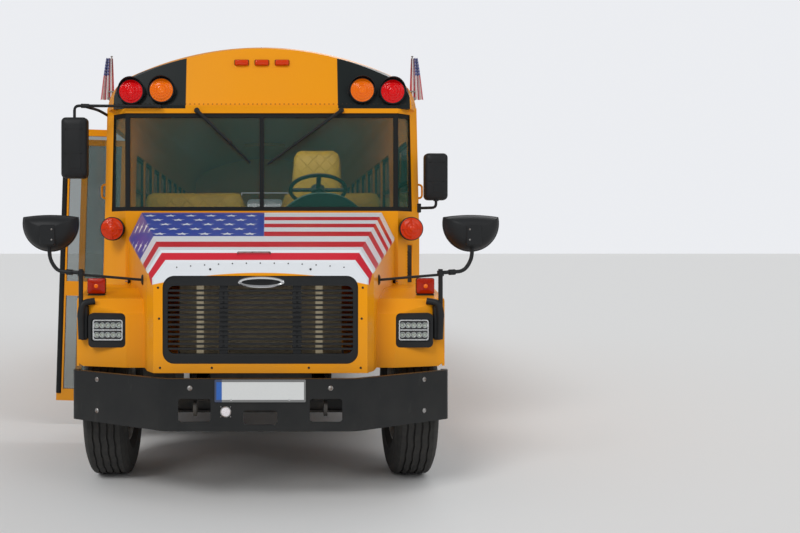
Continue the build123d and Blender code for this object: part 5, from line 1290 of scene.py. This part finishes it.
# Rows (radius, distance from the middle, notch depth) up one side, from the bead to the tread's edge.
SIDE_ROWS = [
    (0.287, 0.0930, 0), (0.301, 0.0935, 0), (0.312, 0.1040, 0), (0.330, 0.1190, 0), (0.350, 0.1300, 0),
    (0.353, 0.1325, 0), (0.359, 0.1327, 0), (0.362, 0.1315, 0), (0.385, 0.1375, 0), (0.415, 0.1395, 0),
    (0.440, 0.1390, 0), (0.462, 0.1362, 0), (0.465, 0.1380, 0), (0.474, 0.1372, 0), (0.477, 0.1340, 0),
    (0.495, 0.1285, 0), (0.508, 0.1215, 0.004), (0.516, 0.1160, 0.008), (0.5215, 0.1085, 0.008),
    (0.5240, 0.1030, 0),
]
FRONT_AXLE, REAR_AXLE = -4.390, 2.010
# Each row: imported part, body, X of each tyre's middle, Y of the axle.
TYRE_ROWS = [
    ("tyre_front_left", "wheel_front_left", (1.010,), FRONT_AXLE),
    ("tyre_front_right", "wheel_front_right", (-1.010,), FRONT_AXLE),
    ("tyres_rear_left", "wheels_rear_left", (0.745, 1.065), REAR_AXLE),
    ("tyres_rear_right", "wheels_rear_right", (-0.745, -1.065), REAR_AXLE),
]


def tyre_form(steps=144):
    """A tyre about X, closed round its section. At angle number j:

    radius = base - notch on every other j, and distance along X = base + 0.003 times a triangle wave of
    period 6 on the grooves' edges. The tread falls by 0.0015 towards its edges.
    """
    groove = np.array([(-0.0060, 0.0), (-0.0042, 0.012), (0.0042, 0.012), (0.0060, 0.0)])
    tread = np.concatenate([groove + (middle, 0) for middle in GROOVES])
    crown = TREAD_RADIUS - 0.0015 * (tread[:, 0] / 0.103) ** 2 - tread[:, 1]
    side = np.array(SIDE_ROWS)
    radius = np.concatenate([side[:, 0], crown, side[::-1, 0]])
    across = np.concatenate([-side[:, 1], tread[:, 0], side[::-1, 1]])
    notch = np.concatenate([side[:, 2], 0 * crown, side[::-1, 2]])
    zigzag = np.pad(np.ones(len(tread)), len(side))
    number = np.arange(steps)
    wave = np.abs(number % 6 - 3) / 1.5 - 1
    radii = radius[:, None] - notch[:, None] * (number % 2)
    angle = number * 2 * np.pi / steps
    offset = across[:, None] + 0.003 * zigzag[:, None] * wave
    grid = np.stack([radii * np.cos(angle), radii * np.sin(angle), offset], axis=-1)
    return skin(grid, wrap_rows=True).turned(90, "Y")


one_tyre = tyre_form()
for node_name, body_name, middles, axle_y in TYRE_ROWS:
    tyres = one_tyre.at([(x, axle_y, TREAD_RADIUS) for x in middles])
    piece("treaded_" + node_name, tyres, tyre_finish, body=body_name,
          replaces=[node_name], crease=40)

# %% Wheel nuts and hub caps
NUTS, NUT_CIRCLE, BESIDE_THE_CAP = 10, 0.132, 0.085
hexagon = lathe([(0.0165, 0.0)], 6).points[:, :2]
nut = stack([(hexagon, -0.004), (hexagon, 0.018), (hexagon * 0.86, 0.022)])
nut += lathe([(0.009, 0.018), (0.009, 0.030), (0.006, 0.033)], 12)
washer = lathe([(0.022, -0.003), (0.022, 0.003), (0.002, 0.004)], 16)
cap_bolt = lathe([(0.006, -0.003), (0.006, 0.004), (0.002, 0.006)], 8)
hub_cap = lathe([(0.070, -0.010), (0.072, 0.004), (0.066, 0.014), (0.040, 0.020), (0.018, 0.021),
                 (0.002, 0.021)], 32)
hub_cap += cap_bolt.at([(0.055, 0, 0.016)]).round_axis(8, "Z")
nut_angles = np.arange(NUTS) * 2 * np.pi / NUTS
for node_name, body_name, middles, axle_y in TYRE_ROWS:
    side = 1 if middles[0] > 0 else -1
    wheel_node = node_name.replace("tyre", "wheel")
    places = [(axle_y + NUT_CIRCLE * math.cos(a), TREAD_RADIUS + NUT_CIRCLE * math.sin(a))
              for a in nut_angles]
    nuts = total(seated(nut + washer, *from_side(wheel_node, side, y, z, 1.6)) for y, z in places)
    hub_point, hub_normal = from_side(wheel_node, side, axle_y + BESIDE_THE_CAP, TREAD_RADIUS, 1.6)
    cap = seated(hub_cap, np.array((hub_point[0], axle_y, TREAD_RADIUS)), hub_normal)
    piece("nuts_" + wheel_node, nuts + cap, steel, body=body_name)

# %% [markdown]
# ## Seats
# A bench is foam in a sewn cover: its faces swell towards the middle, its sides pull in between the
# corners, and a welt runs round the seam. A cloth solver could inflate two flat panels to a like form.
# These pads are seen only through glass, so a formula with those three features is enough.


# %% Padded forms
WELT_RADIUS = 0.005


def spread(outline, count):
    """A closed outline with count points at equal distances round it."""
    loop = np.concatenate([outline, outline[:1]])
    run = np.concatenate([[0], np.cumsum(np.linalg.norm(np.diff(loop, axis=0), axis=1))])
    at = np.arange(count) * run[-1] / count
    return np.column_stack([np.interp(at, run, loop[:, 0]), np.interp(at, run, loop[:, 1])])


def pad(width, height, thick, crown, corner=0.06, pull=0.010, taper=0.0, count=48):
    """A stuffed pad about the origin, its thickness along Z, with a welt at mid thickness.

    For share s from the middle (0) to the rim (1), z = ±((t/2 - crown) (1 - s^9)^0.42 + crown (1 - s^2)).
    The sides pull in: x loses 2 pull / width of itself times 1 - (2y / height)^2, and y likewise. taper
    narrows the pad towards +y.
    """
    x, y = spread(rounded(width, height, corner, 6), count).T
    pulled_x = x * (1 - 2 * pull / width * (1 - (2 * y / height) ** 2))
    pulled_y = y * (1 - 2 * pull / height * (1 - (2 * x / width) ** 2))
    outline = np.column_stack([pulled_x * (1 - taper * (0.5 + y / height) ** 2), pulled_y])
    share = np.array([0.02, 0.22, 0.42, 0.60, 0.75, 0.86, 0.93, 0.97, 0.99, 1.0])
    rise = (thick / 2 - crown) * (1 - share**9) ** 0.42 + crown * (1 - share**2)
    levels = [*zip(share, -rise), *zip(share[-2::-1], rise[-2::-1])]
    outwards = outline / np.linalg.norm(outline, axis=1, keepdims=True)
    turns = np.arange(5) * 2 * np.pi / 5
    welt = [(outline + WELT_RADIUS * (np.cos(a) * outwards), WELT_RADIUS * np.sin(a)) for a in turns]
    return stack([(outline * s, z) for s, z in levels]) + hoop(welt)


# %% Bench seats
ROW_YS, BENCH_X, LEG_TOP = -1.8 + np.arange(10) * 0.711, 0.655, 1.352
seat_places = [(side * BENCH_X, y) for side in (-1, 1) for y in ROW_YS]
cushion = pad(0.926, 0.400, 0.136, 0.026, 0.045, 0.008)
bench_cushions = cushion.at([(x, y - 0.200, 1.407) for x, y in seat_places])
cushions = piece("bench_cushions", bench_cushions, cushion_vinyl,
                 replaces=["seat_cushions"], crease=60)
back_pad = facing_front(pad(0.926, 0.785, 0.098, 0.016, 0.075, 0.010))
bench_backs = back_pad.at([(x, y + 0.0475, 1.685) for x, y in seat_places])
backs = piece("bench_backs", bench_backs, seat_vinyl, replaces=["seat_backs"], crease=60)

# A plate joins the feet of each pair of legs. Where these differ in height, it is under the rear one alone.
legs = []
for x, y in seat_places:
    for leg_x in (x - 0.390, x + 0.360) if x > 0 else (x - 0.360, x + 0.390):
        front_z, rear_z = (meet("body_floor", (leg_x, y - gap, 1.33), DOWN)[0][2] for gap in (0.27, 0.06))
        legs.append(tube([(leg_x, y - 0.27, front_z), (leg_x, y - 0.25, LEG_TOP)], 0.014, 8))
        legs.append(tube([(leg_x, y - 0.06, rear_z), (leg_x, y - 0.06, LEG_TOP)], 0.014, 8))
        level = abs(front_z - rear_z) < 0.01
        start, end, z = (0.30, 0.02, front_z) if level else (0.08, 0.04, rear_z)
        legs.append(bar((leg_x - 0.02, leg_x + 0.02), (y - start, y - end), (z, z + 0.006)))
piece("bench_legs", total(legs), satin_black)

# %% Driver's seat
DRIVER_X, DRIVER_Y = 0.470, -2.730
seat_pad = pad(0.480, 0.470, 0.115, 0.020, 0.070, 0.010).placed(DRIVER_X, DRIVER_Y - 0.235, 1.503)
tall_back = facing_front(pad(0.480, 0.930, 0.108, 0.018, 0.080, 0.010, taper=0.20))
tall_back = tall_back.placed(DRIVER_X, DRIVER_Y + 0.055, 1.925)
driver = piece("driver_pads", seat_pad + tall_back, driver_vinyl, replaces=["driver_seat"],
               crease=60)
folds = [(0.30 - 0.02 * (n % 2), 0.36 - 0.02 * (n % 2), 0.04, 1.03 + 0.035 * n) for n in range(12)]
pedestal = stack(rectangles(folds)).placed(DRIVER_X, DRIVER_Y - 0.22)
belt = tube([(DRIVER_X + 0.235, DRIVER_Y - 0.10, 1.08), (DRIVER_X + 0.240, DRIVER_Y - 0.04, 1.50)], 0.012, 8)
piece("driver_pedestal", pedestal + belt, rubber)

# %% Dashboard
HUMP_HALF, HUMP_HIGH = 0.35, 0.190
HUMP_LAYERS = [(0.93, -0.120), (0.985, -0.108), (1.0, -0.080), (1.0, 0.105), (0.985, 0.122), (0.95, 0.130)]
DIAL_XS = (-0.16, -0.05, 0.06, 0.17)
dash_body = bar((-0.500, 1.146), (-3.560, -3.270), (1.420, 1.790), 0.030)
hump_x = np.linspace(HUMP_HALF, -HUMP_HALF, 29)
hump_top = np.column_stack([hump_x, HUMP_HIGH * (1 - np.abs(hump_x / 0.352) ** 2.4)])
hump_outline = np.concatenate([hump_top, [[-HUMP_HALF, -0.02], [HUMP_HALF, -0.02]]])
hump = facing_front(stack([(hump_outline * s, h) for s, h in HUMP_LAYERS])).placed(DRIVER_X, -3.405, 1.790)
posts = total(bar(x, (-3.49, -3.35), (1.03, 1.43), 0.008) for x in ((-0.48, -0.42), (1.016, 1.076)))
air_slot = bar((-0.16, 0.16), (-0.006, 0.006), (-0.002, 0.004), 0.001)
air_slots = air_slot.at([(-0.20, -3.50 + 0.02 * n, 1.790) for n in range(6)])
dial_rim = ring([(0.040, 0.0), (0.046, 0.0), (0.046, 0.006), (0.040, 0.006)], 24).coat(1)
dial = facing_back(dial_rim + lathe([(0.041, -0.004), (0.041, 0.002), (0.002, 0.003)], 24).coat(2))
dials = dial.at([(DRIVER_X + x, -3.279, 1.850) for x in DIAL_XS])
piece("dashboard_form", dash_body + hump + posts + air_slots + dials, [dash_vinyl, steel, satin_black],
      replaces=["dashboard"])

# %% [markdown]
# ## Flags on the cap's corners
# Small cloth flags hang down their poles in folds. A cloth solver would find folds of its own, and others
# after every change. Here the width of each row is given, narrow at the top and wider below, and the depth
# of its folds is searched for until the row is as long as the cloth was cut.


# %% Cloth flags
CLOTH_WIDE, CLOTH_LONG, CLOTH_THICK = 0.190, 0.325, 0.0012
POLE_X, POLE_Y = 1.175, -3.492


def hanging_cloth(lean, rows=40, columns=61):
    """The middle surface of one hanging cloth and its shares across (u) and down (v).

    x = lean (u - 0.18) w(v), y = a(v) sin(6 pi u + 1.2 v) (0.55 + 0.45 u) and z = -long v. The width w grows
    from 0.050 at the top to 0.108 at the bottom. The depth a of each row's folds is found by halving the gap
    between two bounds until the row is CLOTH_WIDE long.
    """
    u, v = np.linspace(0, 1, columns)[None, :], np.linspace(0, 1, rows)[:, None]
    width = 0.050 + 0.058 * v**0.8
    wave = np.sin(6 * np.pi * u + 1.2 * v) * (0.55 + 0.45 * u)
    x = lean * (u - 0.18) * width
    low, high = np.zeros((rows, 1)), np.full((rows, 1), 0.06)
    for _ in range(30):
        middle = (low + high) / 2
        run = np.hypot(np.diff(x, axis=1), np.diff(middle * wave, axis=1)).sum(axis=1, keepdims=True)
        low, high = np.where(run < CLOTH_WIDE, middle, low), np.where(run < CLOTH_WIDE, high, middle)
    grid = np.stack([x, low * wave, -CLOTH_LONG * v + 0 * u], axis=-1)
    return grid, u + 0 * v, v + 0 * u


def cloth_form(lean):
    """The cloth as a closed thin form: its middle surface moved by half its thickness both ways."""
    grid, u, v = hanging_cloth(lean)
    normal = np.cross(np.gradient(grid, axis=1), np.gradient(grid, axis=0))
    normal /= np.linalg.norm(normal, axis=2, keepdims=True)
    front, rear = grid + normal * CLOTH_THICK / 2, grid - normal * CLOTH_THICK / 2
    loop = np.concatenate([front, rear[:, ::-1]], axis=1)
    shares = np.stack([np.concatenate([s, s[:, ::-1]], axis=1) for s in (u, v)], axis=-1)
    return skin(loop[::-1, ::-1]), shares[::-1, ::-1]


pole = tube([(POLE_X, POLE_Y, 2.690), (POLE_X, POLE_Y, 3.040)], 0.0045, 8)
knob = lathe([(0.004, -0.002), (0.009, 0.003), (0.009, 0.007), (0.003, 0.010)], 12)
pole += knob.placed(POLE_X, POLE_Y, 3.038)
clamp = bar((1.150, 1.200), (-3.504, -3.470), (2.700, 2.722), 0.004)
clamp += bar((1.150, 1.196), (-3.504, -3.470), (2.760, 2.774), 0.004)
flag_poles = piece("flag_poles", (pole + clamp).both(), steel, replaces=["roof_flags"])
for lean, label in ((-1, "right"), (1, "left")):
    cloth, shares = cloth_form(lean)
    cloth = cloth.placed(lean * POLE_X, POLE_Y, 3.030)
    flag_object = piece("cloth_flag_" + label, cloth, flag_cloth, crease=60)
    for number, attribute in enumerate(("across", "along")):
        stored = flag_object.data.attributes.new(attribute, "FLOAT", "POINT")
        stored.data.foreach_set("value", shares[..., number].astype(np.float32).ravel())

# %% [markdown]
# ## Rear, doors and stop arm
# The rear lamps are lenses of the cap's kind without its ribs, in cups that go into the wall. The doors
# close on rubber edges, which are tubes where each leaf ends. The stop arm is a bare eight-sided sign with
# a white border. A formula could paint the border too, but a flat ring of eight sides follows the sign's
# own edge.

# %% Rear lamps
# Each row: X, Z and the coat of its lens (0 red, 1 amber, 3 clear).
REAR_LAMPS = [(0.99, 2.71, 0), (0.76, 2.72, 1), (0.56, 1.21, 3), (0.79, 1.21, 0), (1.02, 1.21, 1)]
rear_cup = lathe([(0.083, -0.055), (0.083, -0.004), (0.002, -0.003)], 36).coat(2)
rear_bezel = rim_form(0.079, 0.055).coat(2) + rear_cup
rear_lens = lens_form(0.079, 0.021)
rear_lamps = total(facing_back(rear_lens.coat(number) + rear_bezel).placed(x, 5.4275, z)
                   for x, z, number in REAR_LAMPS)
rear_backs = bar((0.645, 1.105), (5.338, 5.372), (2.600, 2.822), 0.010).coat(2)
piece("rear_lamp_set", (rear_lamps + rear_backs).both(), [red_lens, amber_lens, black_plastic, clear_lens],
      replaces=["rear_lamps"])

# %% Rear door fittings
lever = tube(bent([(0.30, 5.431, 1.700), (0.30, 5.443, 1.700), (0.30, 5.443, 1.560)], 0.01), 0.006, 8)
lever_foot = lathe([(0.024, -0.004), (0.024, 0.004), (0.016, 0.008), (0.002, 0.009)], 20)
lever += lever_foot.turned(-90, "X").placed(0.30, 5.431, 1.700)
piece("rear_door_fittings", lever, chrome, body="rear_door")

# %% Entrance leaves' rubber edges
for node_name, y in (("entrance_leaf_front", -3.387), ("entrance_leaf_rear", -2.607)):
    ends = [from_side(node_name, -1, y, z)[0] + (0.0135, 0, 0) for z in (0.40, 1.20, 2.42)]
    edge_strip = tube(ends, 0.0180, 12) + tube([p + (0.010, 0, 0) for p in ends], 0.0190, 12)
    piece(node_name + "_edge", edge_strip, rubber, body=node_name)

# %% Stop arm's border
border = ring([(0.214, 0.0), (0.233, 0.0), (0.233, 0.0016), (0.214, 0.0016)], 8).turned(22.5, "Z")
stop_face_x = from_side("stop_arm", 1, -2.20, 1.40)[0][0]
border = facing_side(border, 1).placed(stop_face_x, -2.190, 1.400)
piece("stop_arm_border", border, sign_white, body="stop_arm")

# %% [markdown]
# ## Sides
# Amber lamps mark the front of each side and red ones its rear, low down and at the roof's edge. Mud flaps
# hang behind the rear wheels, and a plain cover closes the fuel filler. The lamps at the roof's edge can
# fall on the roof or on the wall below it, so the line is sent at the roof first and then at the wall.

# %% Side markers, flaps and filler
# Each row: Y, Z and the coat of the lens (0 amber, 1 red).
SIDE_LAMPS = [(-2.10, 1.02, 0), (5.10, 1.02, 1), (-3.10, 2.585, 0), (5.00, 2.585, 1)]
BELOW_THE_ROOF = 2.0
side_lamp = stack(rectangles([(0.100, 0.040, 0.010, 0.003), (0.098, 0.038, 0.010, 0.012),
                              (0.076, 0.020, 0.008, 0.018)]))
side_foot = slab(rounded(0.112, 0.050, 0.010), -0.006, 0.005, 0.002).coat(2)
markers = []
for y, z, number in SIDE_LAMPS:
    for side, wall in ((-1, "right_wall"), (1, "left_wall")):
        point, _ = from_side(wall if z < BELOW_THE_ROOF else "roof " + wall, side, y, z)
        markers.append(facing_side(side_lamp.coat(number) + side_foot, side).placed(*point))
piece("side_markers", total(markers), [amber_lens, red_lens, black_plastic])

flap = bar((-0.290, 0.290), (-0.006, 0.006), (0.300, 0.790), 0.003).placed(0.900, 2.640)
piece("mud_flaps", flap.both(), rubber)
filler_point, _ = from_side("right_wall", -1, 0.30, 0.86)
filler = slab(rounded(0.240, 0.200, 0.020), -0.002, 0.004, 0.002)
filler += bar((-0.100, -0.070), (-0.02, 0.02), (0.003, 0.010), 0.002)
piece("filler_cover", facing_side(filler, -1).placed(*filler_point), plain_yellow)

# %% [markdown]
# ## Studio
# A pale floor and three soft suns in an even room, at which a colour renders about as it is written. One
# hard sun would cut the hood and the wheels into black and white, and hide the finishes. Two dim lamps in
# the cabin stand for the daylight that the small windows let in.

# %% Floor
REACH, FLOOR_Z = 400.0, -0.002
floor_finish = Finish("studio_floor", Base_Color=(0.74, 0.74, 0.73), Roughness=0.9, Specular_IOR_Level=0.1)
floor_finish.relief(floor_finish.noise(0.02, 3), 0.0005)
across = np.linspace(-REACH, REACH, 2)
floor_grid = np.stack(np.meshgrid(across, across) + [np.zeros((2, 2))], -1)
floor_form = skin(floor_grid, wrap_columns=False, caps=False)
floor_mesh = bpy.data.meshes.new("studio_floor")
floor_mesh.from_pydata(floor_form.points.tolist(), [], floor_form.corners.reshape(-1, 4).tolist())
floor_mesh.materials.append(floor_finish.material)
floor = bpy.data.objects.new("studio_floor", floor_mesh)
floor.location.z = FLOOR_Z
bpy.context.scene.collection.objects.link(floor)


# %% Lights
def light(name, data, place, tilt, turn=0):
    """Put a light in the scene, tilted by degrees about X and then turned about Z."""
    made = bpy.data.objects.new(name, data)
    made.location = place
    made.rotation_euler = (math.radians(tilt), 0, math.radians(turn))
    bpy.context.scene.collection.objects.link(made)


def sun(name, strength, spread_degrees, tilt, turn):
    """A sun whose shadows have soft edges, because it is spread over some degrees of the sky."""
    data = bpy.data.lights.new(name, "SUN")
    data.energy, data.angle = strength, math.radians(spread_degrees)
    light(name, data, (0, 0, 12), tilt, turn)


def cabin_lamp(name, power, width, length, place, tilt):
    """A dim rectangular lamp inside the cabin."""
    data = bpy.data.lights.new(name, "AREA")
    data.shape, data.size, data.size_y, data.energy = "RECTANGLE", width, length, power
    light(name, data, place, tilt)


sun("key_sun", 1.25, 22, 52, -30)
sun("fill_sun", 0.50, 40, 60, 48)
sun("rear_sun", 0.55, 40, -55, -25)
cabin_lamp("aisle_light", 4, 1.2, 7.0, (0, 1.0, 2.95), 0)
cabin_lamp("front_seat_light", 20, 1.8, 0.25, (0, -3.35, 2.62), 40)

# %% Room
# The room is brighter where the camera sees it, straight or through glass, and darker in reflections.
world = bpy.data.worlds.new("room")
bpy.context.scene.world = world
world.use_nodes = True
background = world.node_tree.nodes["Background"]
room = Wire(world.node_tree, background.outputs[0])
camera_ray, glossy_ray, through_ray = (room.make("ShaderNodeLightPath", None, None, n) for n in (0, 3, 6))
strength = 0.52 + camera_ray.most(through_ray) * 0.36 - glossy_ray * 0.24
world.node_tree.links.new(strength.socket, background.inputs["Strength"])
background.inputs["Color"].default_value = (0.95, 0.965, 1.0, 1.0)
